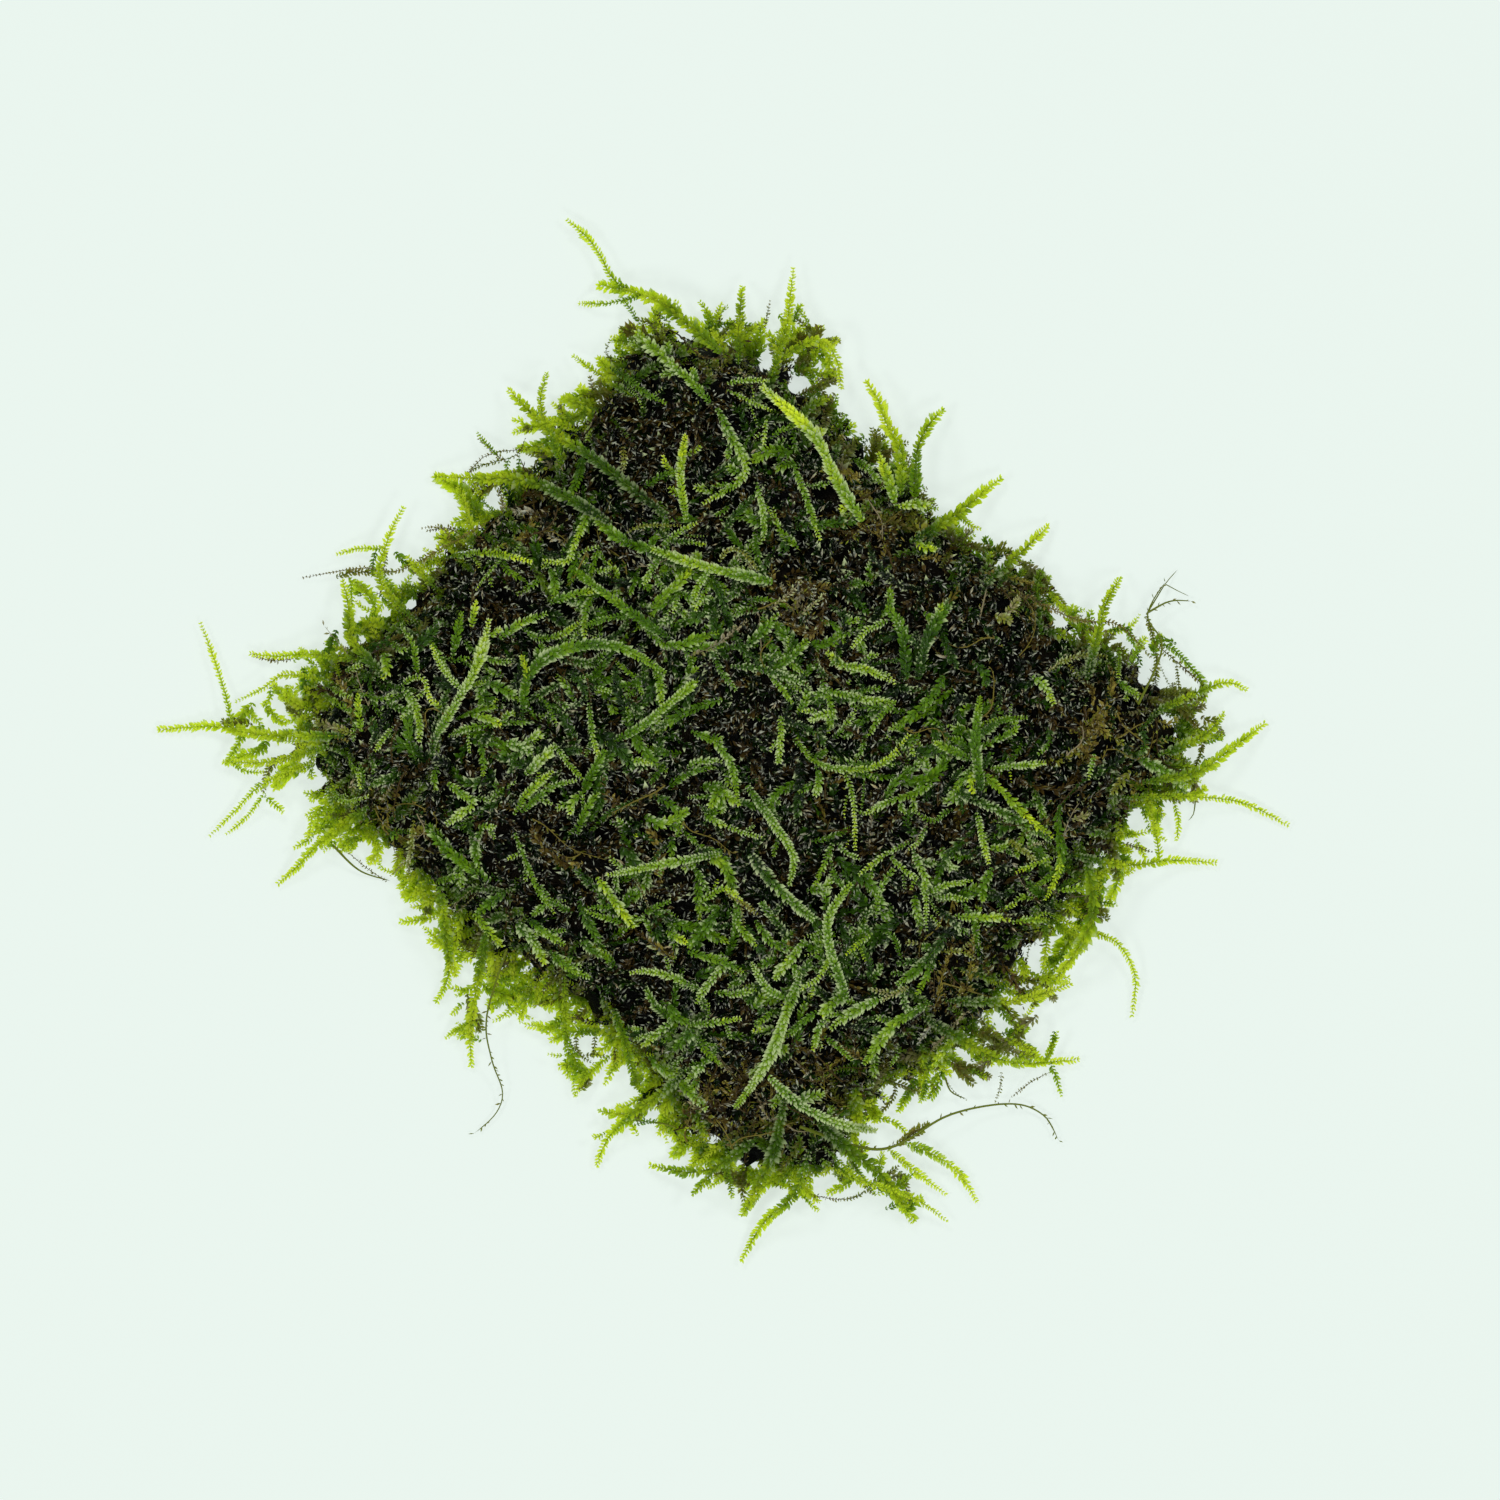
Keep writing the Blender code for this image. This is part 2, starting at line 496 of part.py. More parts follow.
def build_shoot(name, row, laid, material, second="tip_height"):
    """One shoot with its side branches, laid over everything before it.

    The second value of its row is the one of shoot_line's values that `second` names.
    """
    width, height, route, branches = row
    line, widths = shoot_line(width, route, laid, **{second: height})
    body = sweep(line, widths)
    surfaces = [BVHTree.FromBMesh(body)]
    shoot = as_object(name, body, material)
    for number, (branch_width, branch_height, branch_route) in enumerate(branches, 1):
        start = Vector(branch_route[0])
        fork = min(line, key=lambda place: (place.to_2d() - start).length)
        branch_route = [fork.to_2d(), *branch_route[1:]]
        branch_line, branch_widths = shoot_line(
            branch_width, branch_route, laid, start_height=fork.z, **{second: branch_height}
        )
        branch_body = sweep(branch_line, branch_widths)
        surfaces.append(BVHTree.FromBMesh(branch_body))
        grow_together(shoot, as_object(f"{name}_branch_{number}", branch_body, material))
    laid.extend(surfaces)


def build_moss():
    rim = Rim()
    felt = build_mat(rim)
    tufts = joined(rim_tufts(rim) + top_tufts(rim))
    laid = [BVHTree.FromBMesh(felt), BVHTree.FromBMesh(tufts)]
    matted = moss_material("matted growth", MAT_COLOUR)
    grow_together(as_object("mat", felt, matted), as_object("mat_tufts", tufts, matted))
    brown = moss_material("brown stem", BROWN_COLOUR)
    for number, row in enumerate(RUNNERS, 1):
        build_shoot(f"runner_{number:02d}", row, laid, brown)
    for number, row in enumerate(BROWN_STEMS, 1):
        build_shoot(f"brown_stem_{number:02d}", row, laid, brown)
    bright = moss_material("bright shoot", RIM_COLOUR)
    for number, row in enumerate(RIM_SHOOTS, 1):
        build_shoot(f"rim_shoot_{number:02d}", row, laid, bright)
    green = moss_material("green shoot", TOP_COLOUR)
    for number, row in enumerate(TOP_SHOOTS, 1):
        build_shoot(f"top_shoot_{number:02d}", row, laid, green, second="lift")


clear_scene()
build_moss()
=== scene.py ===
# %% [markdown]
# # A pad of java moss
# Java moss grows as thin creeping stems with two flat rows of tiny leaves, so that a shoot looks like a
# small green feather. A pad is thousands of such shoots felted together: dark and old inside, green on top,
# and bright round the rim, where new shoots reach out and light comes through them, painted into their
# tone. This lesson dresses a plain solid model of a pad, leaf by leaf.

import math

import bmesh
import bpy
import numpy as np
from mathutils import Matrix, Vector, noise
from mathutils.bvhtree import BVHTree


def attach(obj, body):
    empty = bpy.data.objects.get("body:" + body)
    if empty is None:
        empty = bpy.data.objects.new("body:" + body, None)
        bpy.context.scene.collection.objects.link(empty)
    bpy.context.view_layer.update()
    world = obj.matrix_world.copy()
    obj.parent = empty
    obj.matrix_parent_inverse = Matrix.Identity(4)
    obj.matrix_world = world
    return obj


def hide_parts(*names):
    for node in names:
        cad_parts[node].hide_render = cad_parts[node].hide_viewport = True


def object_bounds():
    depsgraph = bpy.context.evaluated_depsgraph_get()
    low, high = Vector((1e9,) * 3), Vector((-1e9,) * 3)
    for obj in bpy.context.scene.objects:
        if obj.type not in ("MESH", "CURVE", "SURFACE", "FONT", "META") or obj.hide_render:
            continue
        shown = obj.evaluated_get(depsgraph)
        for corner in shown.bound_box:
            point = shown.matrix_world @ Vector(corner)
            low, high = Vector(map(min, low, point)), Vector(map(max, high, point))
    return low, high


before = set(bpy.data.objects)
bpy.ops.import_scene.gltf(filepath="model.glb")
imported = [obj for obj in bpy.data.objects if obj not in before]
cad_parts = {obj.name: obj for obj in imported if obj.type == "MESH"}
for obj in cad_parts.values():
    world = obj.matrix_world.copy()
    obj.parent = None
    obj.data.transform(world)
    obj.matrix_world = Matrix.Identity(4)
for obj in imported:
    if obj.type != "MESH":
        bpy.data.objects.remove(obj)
solid_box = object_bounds()
print("solid model from", tuple(solid_box[0]), "to", tuple(solid_box[1]))

# %% [markdown]
# ## Units and chance
# All sizes below are in millimetres and are turned into metres when a mesh is made. Chance decides how
# small shoots lie, always from the same seed, so the pad comes out the same every time.

# %% Units and seed
MM = 0.001
UP = np.array([0.0, 0.0, 1.0])
DOWN = Vector((0, 0, -1))
ABOVE_ALL = 100.0
FLOOR_GAP = 0.45  # the lowest that the middle of a shoot may lie
chance = np.random.default_rng(41)

# %% [markdown]
# ## Objects and materials
# Two small functions put a new object in the scene and begin a new material.

# %% Objects and materials


def add_object(name, data):
    """A new object in the scene."""
    added = bpy.data.objects.new(name, data)
    bpy.context.scene.collection.objects.link(added)
    return added


def new_material(name):
    """A new material, with its nodes, the function that links them, and its shader."""
    material = bpy.data.materials.new(name)
    material.use_nodes = True
    nodes = material.node_tree.nodes
    return material, nodes, material.node_tree.links.new, nodes["Principled BSDF"]


# %% [markdown]
# ## Camera
# The pad is seen from straight above, by a very long lens from far away. It shows every place at nearly the
# same scale, so a route given in millimetres lands where it should whatever its height.

# %% Camera
VIEW_WIDTH = 190.5
VIEW_CENTRE = (3.3, -1.3)
CAMERA_HEIGHT = 4000

lens = bpy.data.cameras.new("camera")
lens.lens = lens.sensor_width * CAMERA_HEIGHT / VIEW_WIDTH
camera = add_object("camera", lens)
camera.location = (VIEW_CENTRE[0] * MM, VIEW_CENTRE[1] * MM, CAMERA_HEIGHT * MM)
bpy.context.scene.camera = camera

# %% [markdown]
# ## Floor and light
# The floor is plain and pale. Most light comes from all round, and four small soft lamps high up put a
# glint on each wet leaf that happens to face them. The Standard view keeps the greens as deep as they are
# given.

# %% Floor
FLOOR_SIZE = 12000
FLOOR_DEPTH = 0.05  # how far below the pad it lies
FLOOR_COLOUR = (0.22, 0.245, 0.23)
FLOOR_GLOW = (0.60, 0.665, 0.625)
FLOOR_ROUGHNESS = 0.9
FLOOR_GLOSS = 0.1

bpy.ops.mesh.primitive_plane_add(size=FLOOR_SIZE * MM, location=(0, 0, -FLOOR_DEPTH * MM))
floor = bpy.context.object
floor.name = "floor"
paper, _, _, shader = new_material("pale floor")
shader.inputs["Base Color"].default_value = (*FLOOR_COLOUR, 1)
shader.inputs["Roughness"].default_value = FLOOR_ROUGHNESS
shader.inputs["Specular IOR Level"].default_value = FLOOR_GLOSS
shader.inputs["Emission Color"].default_value = (*FLOOR_GLOW, 1)
shader.inputs["Emission Strength"].default_value = 1
floor.data.materials.append(paper)

# %% Light
SKY_COLOUR = (0.96, 1.0, 0.98)
SKY_STRENGTH = 0.33
LAMP_SIZE = 130
LAMP_DISTANCE = 700
LAMP_POWER = 1.02
LAMP_TILT = 32  # degrees from straight above
LAMP_TURNS = (20, 115, 200, 290)  # degrees round the pad

sky = bpy.data.worlds.new("soft sky")
sky.use_nodes = True
background = sky.node_tree.nodes["Background"]
background.inputs["Color"].default_value = (*SKY_COLOUR, 1)
background.inputs["Strength"].default_value = SKY_STRENGTH
bpy.context.scene.world = sky
bpy.context.scene.view_settings.view_transform = "Standard"
for number, turn in enumerate(LAMP_TURNS):
    lamp = bpy.data.lights.new(f"lamp_{number}", "AREA")
    lamp.size = LAMP_SIZE * MM
    lamp.energy = LAMP_POWER
    holder = add_object(f"lamp_{number}", lamp)
    tilt = math.radians(LAMP_TILT)
    turn = math.radians(turn)
    way = Vector((math.sin(tilt) * math.cos(turn), math.sin(tilt) * math.sin(turn), math.cos(tilt)))
    holder.location = way * LAMP_DISTANCE * MM
    holder.rotation_euler = way.to_track_quat("Z", "Y").to_euler()

# %% [markdown]
# ## One leaf
# A leaf of this moss is a pointed boat about a millimetre long. Its shape is a grid two cells wide whose
# first and last rows are drawn together to points. Thousands of copies are made, so it has only four or
# eight small faces. `sides` and `shares` say where each corner lies across the leaf and from its root to
# its tip, for its colour map.

# %% Leaf shapes
LEAF_KEEL = 0.28  # how deep the boat is, of its breadth
LEAF_ARCH = 0.10  # how far the tip bends down, of its length
LEAF_BLUNTNESS = 1.05  # above 1 the leaf is widest nearer to its tip


def corners_and_faces(shape):
    """The corners and the triangles of a shape, which is done with then."""
    bmesh.ops.triangulate(shape, faces=shape.faces[:])
    points = np.array([vertex.co for vertex in shape.verts])
    faces = np.array([[corner.index for corner in face.verts] for face in shape.faces])
    shape.free()
    return points, faces


def leaf_shape(rows):
    """A leaf one unit long and one wide, with this many rows of cells."""
    leaf = bmesh.new()
    bmesh.ops.create_grid(leaf, x_segments=2, y_segments=rows, size=0.5)
    for vertex in leaf.verts:
        share = vertex.co.y + 0.5
        half_width = 0.5 * math.sin(math.pi * share**LEAF_BLUNTNESS)
        side = round(vertex.co.x * 2)
        keel = LEAF_KEEL * (abs(side) - 1) * half_width
        vertex.co = (side * half_width, share, keel - LEAF_ARCH * share**2)
    bmesh.ops.remove_doubles(leaf, verts=leaf.verts, dist=1e-5)
    points, faces = corners_and_faces(leaf)
    sides = np.sign(points[:, 0].round(4))
    return {"points": points, "faces": faces, "sides": sides, "shares": points[:, 1]}


SMALL_LEAF = leaf_shape(2)
FINE_LEAF = leaf_shape(3)
print("a small leaf has", len(SMALL_LEAF["faces"]), "faces and a fine one", len(FINE_LEAF["faces"]))

# %% [markdown]
# ## One joint of a stem
# A stem is a row of short open tubes. Each copy has one end on a station of the stem and the other on the
# next, so neighbours meet exactly and the row bends smoothly.

# %% Stem joint


def stem_shape(sides):
    """A tube with this many sides, and at which of its two ends each corner lies."""
    joint = bmesh.new()
    bmesh.ops.create_cone(joint, cap_ends=False, segments=sides, radius1=1, radius2=1, depth=1)
    points, faces = corners_and_faces(joint)
    return {"points": points[:, :2], "faces": faces, "ends": (points[:, 2] > 0).astype(int)}


THIN_STEM = stem_shape(3)
ROUND_STEM = stem_shape(5)

# %% [markdown]
# ## Colour map
# Every leaf gets a small cell of one shared map. Across, the map runs through the tones that moss goes
# through, from bleached and brown over black to the brightest new growth. Upwards it runs from a leaf's
# root to its tip, and above that lies a strip for stems. One map then colours all leaves, and no two
# neighbours need the same tone.

# %% Places on the colour map
TONES = {
    "grey": 0.03, "silver": 0.09, "tan": 0.16, "olive": 0.23, "gold": 0.30, "brown": 0.37, "black": 0.45,
    "dark": 0.53, "deep": 0.62, "green": 0.71, "fresh": 0.81, "bright": 0.90, "lemon": 0.97,
}
HALF_CELL = 0.012
LEAF_ROOT = 0.05
PLAIN_TIP = 0.36
FROST_GLINT_TIP = 0.80
STEM_STRIP = 0.92
STRIP_HEIGHT = 0.03
MAP_MARGIN = 0.02
LOWEST = 0.05  # no corner lies lower than this


class Growth:
    """Leaves and stem joints, gathered until they are made one mesh."""

    def __init__(self):
        self.points = []
        self.faces = []
        self.map = []
        self.count = 0

    def add(self, points, faces, across, upwards):
        """Copies of a shape: points is copies by corners by 3, and faces are the shape's own."""
        copies, corners = points.shape[:2]
        starts = self.count + np.arange(copies) * corners
        self.points.append(points.reshape(-1, 3))
        self.faces.append((faces[None] + starts[:, None, None]).reshape(-1, 3))
        across = np.clip(across, MAP_MARGIN, 1 - MAP_MARGIN)
        self.map.append(np.stack([across, upwards], axis=2).reshape(-1, 2))
        self.count += copies * corners

    def mesh(self, name):
        """One mesh of all that was gathered, with its colour map."""
        points = np.concatenate(self.points)
        points[:, 2] = np.maximum(points[:, 2], LOWEST)
        faces = np.concatenate(self.faces)
        mesh = bpy.data.meshes.new(name)
        mesh.vertices.add(len(points))
        mesh.vertices.foreach_set("co", (points * MM).ravel())
        mesh.loops.add(faces.size)
        mesh.loops.foreach_set("vertex_index", faces.ravel())
        mesh.polygons.add(len(faces))
        mesh.polygons.foreach_set("loop_start", np.arange(0, faces.size, 3))
        mesh.polygons.foreach_set("use_smooth", np.ones(len(faces), bool))
        layer = mesh.uv_layers.new(name="OFBake")
        layer.uv.foreach_set("vector", np.concatenate(self.map)[faces.ravel()].ravel())
        mesh.update(calc_edges=True)
        return mesh


# %% [markdown]
# ## Moss materials
# Wet moss leaves are one cell thick: they shine like varnish and let light through. The colour comes from
# the map alone. A leaf is a little darker at its root, and its tip is frosted: partly bleached cells, partly
# a painted glint that stands in for the highlights of tiny drops on the wet tips. Fresh leaves let much light
# through and old ones none, so each kind of growth has its own material.

# %% Colours of the moss
PALETTE = {
    "grey": (62, 66, 56), "silver": (164, 168, 150), "tan": (160, 148, 112), "olive": (120, 134, 34),
    "gold": (134, 122, 54), "brown": (74, 60, 28), "black": (5, 9, 3), "dark": (18, 36, 5),
    "deep": (52, 86, 10), "green": (90, 131, 18), "fresh": (136, 171, 32), "bright": (212, 234, 42),
    "lemon": (222, 238, 62),
}
# The frost of the leaf tips: partly bleached cells, partly a painted glint of the wet tips
FROST_GLINT = (200, 215, 158)
CELL_SCALE = 6000
CELL_STRENGTH = 0.25
CELL_DEPTH = 0.00005
VARNISH_ROUGHNESS = 0.12


def linear(colour):
    """A colour of 0 to 255 steps, as the light that it stands for."""
    return tuple((step / 255) ** 2.2 for step in colour)


def ramp(nodes, stops):
    """A colour ramp node with the given places and colours."""
    node = nodes.new("ShaderNodeValToRGB")
    elements = node.color_ramp.elements
    while len(elements) < len(stops):
        elements.new(0.5)
    for element, (place, colour) in zip(elements, stops):
        element.position = place
        element.color = (*colour, 1)
    return node


def grey(value):
    """A grey of this lightness."""
    return (value, value, value)


def noise_texture(nodes, link, scale, **inputs):
    """A noise that lies still on the object."""
    texture = nodes.new("ShaderNodeTexNoise")
    texture.inputs["Scale"].default_value = scale
    for name, value in inputs.items():
        texture.inputs[name].default_value = value
    coordinates = nodes.new("ShaderNodeTexCoord")
    link(coordinates.outputs["Object"], texture.inputs["Vector"])
    return texture


def add_relief(nodes, link, shader, texture, strength, distance):
    """Small bumps on a surface, as high as a texture says."""
    bump = nodes.new("ShaderNodeBump")
    bump.inputs["Strength"].default_value = strength
    bump.inputs["Distance"].default_value = distance
    link(texture.outputs["Fac"], bump.inputs["Height"])
    link(bump.outputs["Normal"], shader.inputs["Normal"])


def moss_material(name, shine, roughness, see_through, gloss):
    """Leaves coloured by their map, with this much varnish, and this thin."""
    material, nodes, link, shader = new_material(name)
    place = nodes.new("ShaderNodeUVMap")
    place.uv_map = "OFBake"
    split = nodes.new("ShaderNodeSeparateXYZ")
    link(place.outputs["UV"], split.inputs["Vector"])
    tone = ramp(nodes, [(TONES[key], linear(colour)) for key, colour in PALETTE.items()])
    link(split.outputs["X"], tone.inputs["Fac"])
    shade = ramp(nodes, [(LEAF_ROOT, grey(0.5)), (0.25, grey(1)), (1, grey(1))])
    link(split.outputs["Y"], shade.inputs["Fac"])
    shaded = nodes.new("ShaderNodeMix")
    shaded.data_type = "RGBA"
    shaded.blend_type = "MULTIPLY"
    shaded.inputs["Factor"].default_value = 1
    link(tone.outputs["Color"], shaded.inputs["A"])
    link(shade.outputs["Color"], shaded.inputs["B"])
    # Painted glint: towards its tip a leaf is paled to the frost colour
    frost_glint_mask = ramp(
        nodes, [(PLAIN_TIP, grey(0)), (0.50, grey(0.6)), (FROST_GLINT_TIP, grey(0.95)), (0.84, grey(0))],
    )
    link(split.outputs["Y"], frost_glint_mask.inputs["Fac"])
    frost_glinted = nodes.new("ShaderNodeMix")
    frost_glinted.data_type = "RGBA"
    link(frost_glint_mask.outputs["Color"], frost_glinted.inputs["Factor"])
    link(shaded.outputs["Result"], frost_glinted.inputs["A"])
    frost_glinted.inputs["B"].default_value = (*linear(FROST_GLINT), 1)
    link(frost_glinted.outputs["Result"], shader.inputs["Base Color"])
    shader.inputs["Roughness"].default_value = roughness
    shader.inputs["Specular IOR Level"].default_value = gloss
    shader.inputs["Coat Weight"].default_value = shine
    shader.inputs["Coat Roughness"].default_value = VARNISH_ROUGHNESS
    add_relief(nodes, link, shader, noise_texture(nodes, link, CELL_SCALE), CELL_STRENGTH, CELL_DEPTH)
    if see_through:
        glow = nodes.new("ShaderNodeBsdfTranslucent")
        link(frost_glinted.outputs["Result"], glow.inputs["Color"])
        mixed = nodes.new("ShaderNodeMixShader")
        mixed.inputs["Fac"].default_value = see_through
        link(shader.outputs["BSDF"], mixed.inputs[1])
        link(glow.outputs["BSDF"], mixed.inputs[2])
        link(mixed.outputs["Shader"], nodes["Material Output"].inputs["Surface"])
    return material


OLD_LEAVES = moss_material("old wet leaves", shine=0.12, roughness=0.35, see_through=0, gloss=0.05)
GREEN_LEAVES = moss_material("green leaves", shine=0.1, roughness=0.38, see_through=0.2, gloss=0.12)
NEW_LEAVES = moss_material("new leaves", shine=0.1, roughness=0.4, see_through=0.69, gloss=0.2)
BARE_STEMS = moss_material("bare stems", shine=0.1, roughness=0.4, see_through=0.35, gloss=0.2)

# %% [markdown]
# ## Routes
# A shoot follows a smooth curve through a few points. The curve is then walked in even steps, and each
# station gets three directions: forwards along the stem, sideways in the plane of the leaves, and up out of
# that plane.

# %% Smooth routes and their directions
CURVE_STEPS = 6
ROUTE_STEP = 0.8


def smooth_curve(points):
    """Many points along a smooth curve through the given ones."""
    points = np.array(points, float)
    share = np.linspace(0, 1, CURVE_STEPS, endpoint=False)[:, None]
    before = points[[0, *range(len(points) - 2)]]
    after = points[[*range(2, len(points)), -1]]
    stretches = [
        b + (c - a) * share / 2
        + (a * 2 - b * 5 + c * 4 - d) * share**2 / 2
        + (b * 3 - a - c * 3 + d) * share**3 / 2
        for a, b, c, d in zip(before, points[:-1], points[1:], after)
    ]
    return np.vstack([*stretches, points[-1:]])


def lengths_along(line):
    """How far along a line each of its points lies."""
    return np.concatenate([[0], np.cumsum(np.linalg.norm(np.diff(line, axis=0), axis=1))])


def walk(line, step):
    """Stations along a line, about this far apart."""
    reached = lengths_along(line)
    count = max(int(round(reached[-1] / step)), 2) + 1
    wanted = np.linspace(0, reached[-1], count)
    return np.stack([np.interp(wanted, reached, column) for column in line.T], axis=1)


def route_through(points):
    """A flat route through a few points, in even steps."""
    return walk(smooth_curve(points), ROUTE_STEP)


def unit(vectors):
    """The same directions, each one unit long."""
    return vectors / np.maximum(np.linalg.norm(vectors, axis=-1, keepdims=True), 1e-9)


def directions(line, up=UP, roll=0.0):
    """Forwards, sideways and up at each point of a line, rolled about the line by an angle."""
    forwards = unit(np.gradient(line, axis=0))
    sideways = unit(np.cross(forwards, up + 1e-6))
    upwards = np.cross(sideways, forwards)
    return (
        forwards,
        sideways * np.cos(roll) + upwards * np.sin(roll),
        upwards * np.cos(roll) - sideways * np.sin(roll),
    )


# %% [markdown]
# ## One shoot
# Leaves stand in pairs to both sides, tilted towards the tip, and a third row lies on the back of the stem.
# They overlap like tiles, so a shoot looks like a flat ribbon with a saw-toothed edge. Leaves are small at
# the root and the tip. Each has its own small turn, size and tone, which is what makes wet moss glitter.

# %% Leaves on a stem
PAIR_STEP = 0.44  # between two pairs of leaves
LEAF_ANGLE = math.radians(48)
LEAF_BREADTH = 0.45  # of its length
BACK_LEAF = 0.85  # of a side leaf
STEM_SHARE = 0.07  # a stem's radius, of the shoot's width
JOINT_STEP = 1.3
TIP_TONE = 0.05  # how much brighter the young end is
ROOT_TONE = -0.07
TONE_JITTER = 0.02
PALE_LEAF_BREADTH = 0.55  # pale leaves, partly bleached and partly painted glints, are narrower
TIP_SIZE = 0.6  # of the leaves at the tip, next to the largest
WAVE_STEP = 3.0  # between two changes of a shoot's width, tone and painted frost glint
WIDTH_WAVE = 0.11
TONE_WAVE = 0.03
FROST_GLINT_WAVE = 0.2
LENGTH_JITTER = 0.12
ANGLE_JITTER = 0.14
BACK_ANGLE_JITTER = 0.3
RAISED = 0.05  # how far a side leaf stands up from the plane of the leaves
BACK_RAISED = 0.25
RAISED_JITTER = 0.20
INWARD_TWIST = 0.2
TWIST_JITTER = 0.25
FROST_GLINT_JITTER = 0.25


def read_along(line, values, stations):
    """Values given at the points of a line, or one for all of them, read at stations of the same line."""
    return np.interp(lengths_along(stations), lengths_along(line), np.broadcast_to(values, len(line)))


def wave(stations, spread):
    """A slow random change along a line."""
    reached = lengths_along(stations)
    knots = np.arange(0, reached[-1] + 2 * WAVE_STEP, WAVE_STEP)
    return np.interp(reached, knots, chance.normal(size=len(knots)) * spread)


def lay_leaves(growth, leaf, places, ways, ups, length, breadth, twist, tone, frost_glint):
    """Copies of a leaf, each pointing its own way with its own back turned up."""
    across = unit(np.cross(ways, ups))
    backs = np.cross(across, ways)
    turn = twist[:, None]
    turned = across * np.cos(turn) + backs * np.sin(turn)
    turned_backs = backs * np.cos(turn) - across * np.sin(turn)
    shape = leaf["points"]
    points = (
        places[:, None]
        + turned[:, None] * (shape[None, :, :1] * breadth[:, None, None])
        + ways[:, None] * (shape[None, :, 1:2] * length[:, None, None])
        + turned_backs[:, None] * (shape[None, :, 2:] * length[:, None, None])
    )
    tip = PLAIN_TIP + (FROST_GLINT_TIP - PLAIN_TIP) * frost_glint[:, None]
    along = LEAF_ROOT + (tip - LEAF_ROOT) * leaf["shares"]
    growth.add(points, leaf["faces"], tone[:, None] + leaf["sides"] * HALF_CELL, along)


def lay_stem(growth, joint, line, sideways, upwards, radii, tone):
    """A row of tube joints from station to station."""
    stations = np.arange(len(line) - 1)[:, None] + joint["ends"]
    x, y = joint["points"].T
    points = line[stations] + radii[stations][..., None] * (
        x[:, None] * sideways[stations] + y[:, None] * upwards[stations]
    )
    across = np.broadcast_to(tone + (x + joint["ends"] - 0.5) * HALF_CELL / 2, points.shape[:2])
    along = np.broadcast_to(STEM_STRIP + y * STRIP_HEIGHT, points.shape[:2])
    growth.add(points, joint["faces"], across, along)


def leafy_shoot(
    growth, line, width, tone, frost_glint, up=UP, roll=0.0, leaf=SMALL_LEAF, mess=1.0, bleached_and_glints=0.0, taper=0.25,
):
    """A stem with two rows of leaves at its sides and one on its back.

    Its last part, the taper, narrows to the tip. Tone and the painted glint of the pale tips are one value
    for the shoot, or one for each point of its line."""
    bones = walk(line, JOINT_STEP)
    _, sideways, upwards = directions(bones, up, roll)
    ends = np.linspace(0, 1, len(bones))
    radii = width * STEM_SHARE * np.minimum(1, (1 - ends) * 6) * np.minimum(1, 0.3 + ends * 8)
    lay_stem(growth, THIN_STEM, bones, sideways, upwards, radii, np.mean(tone))
    spots = walk(line, PAIR_STEP)
    forwards, sideways, upwards = directions(spots, up, roll)
    share = np.linspace(0, 1, len(spots))
    tone = read_along(line, tone, spots) + wave(spots, TONE_WAVE)
    frost_glint = read_along(line, frost_glint, spots) + wave(spots, FROST_GLINT_WAVE)
    size = np.minimum(1, 0.55 + share * 4) * np.minimum(1, TIP_SIZE + (1 - TIP_SIZE) * (1 - share) / taper)
    base = width / 2 / math.sin(LEAF_ANGLE) * size * np.exp(wave(spots, WIDTH_WAVE))
    living = tone > TONES["black"]
    tones = tone + (ROOT_TONE * (1 - share) ** 2 + TIP_TONE * share**2) * living
    for hand in (-1, 1, 0):
        count = len(spots)
        jitter = chance.normal(size=(5, count))
        length = base * (1 + LENGTH_JITTER * mess * jitter[0]) * (1 if hand else BACK_LEAF)
        side_angle = hand * (LEAF_ANGLE + ANGLE_JITTER * mess * jitter[1])
        angle = side_angle + (0 if hand else BACK_ANGLE_JITTER * jitter[1])
        raised = (RAISED if hand else BACK_RAISED) + RAISED_JITTER * mess * jitter[2]
        flat = forwards * np.cos(angle)[:, None] + sideways * np.sin(angle)[:, None]
        ways = flat * np.cos(raised)[:, None] + upwards * np.sin(raised)[:, None]
        backs = upwards * np.cos(raised)[:, None] - flat * np.sin(raised)[:, None]
        leaf_tones = tones + TONE_JITTER * jitter[4]
        # Pale leaves: partly bleached ones, partly painted glints of wet leaves
        pale = chance.random(count) < bleached_and_glints
        leaf_tones[pale] = chance.uniform(TONES["grey"], TONES["tan"], pale.sum())
        breadth = length * LEAF_BREADTH * np.where(pale, PALE_LEAF_BREADTH, 1)
        roots = spots + upwards * (width * STEM_SHARE * (0.3 if hand else 1))
        twist = TWIST_JITTER * mess * jitter[3] - INWARD_TWIST * hand
        leaf_frost_glint = np.clip(frost_glint * (1 if hand else frost_glint) + FROST_GLINT_JITTER * jitter[0], 0, 1)
        lay_leaves(growth, leaf, roots, ways, backs, length, breadth, twist, leaf_tones, leaf_frost_glint)


# %% [markdown]
# ## Bare stems
# Old stems have lost their leaves, apart from a few dead scraps. They are thin round tubes of five sides,
# thick at the root and fine at the tip.

# %% Tubes and scraps
DEAD_LEAF_STEP = 1.5 * PAIR_STEP
# the tips of the dead scraps get a little painted glint
DEAD_LEAF_FROST_GLINT = 0.2


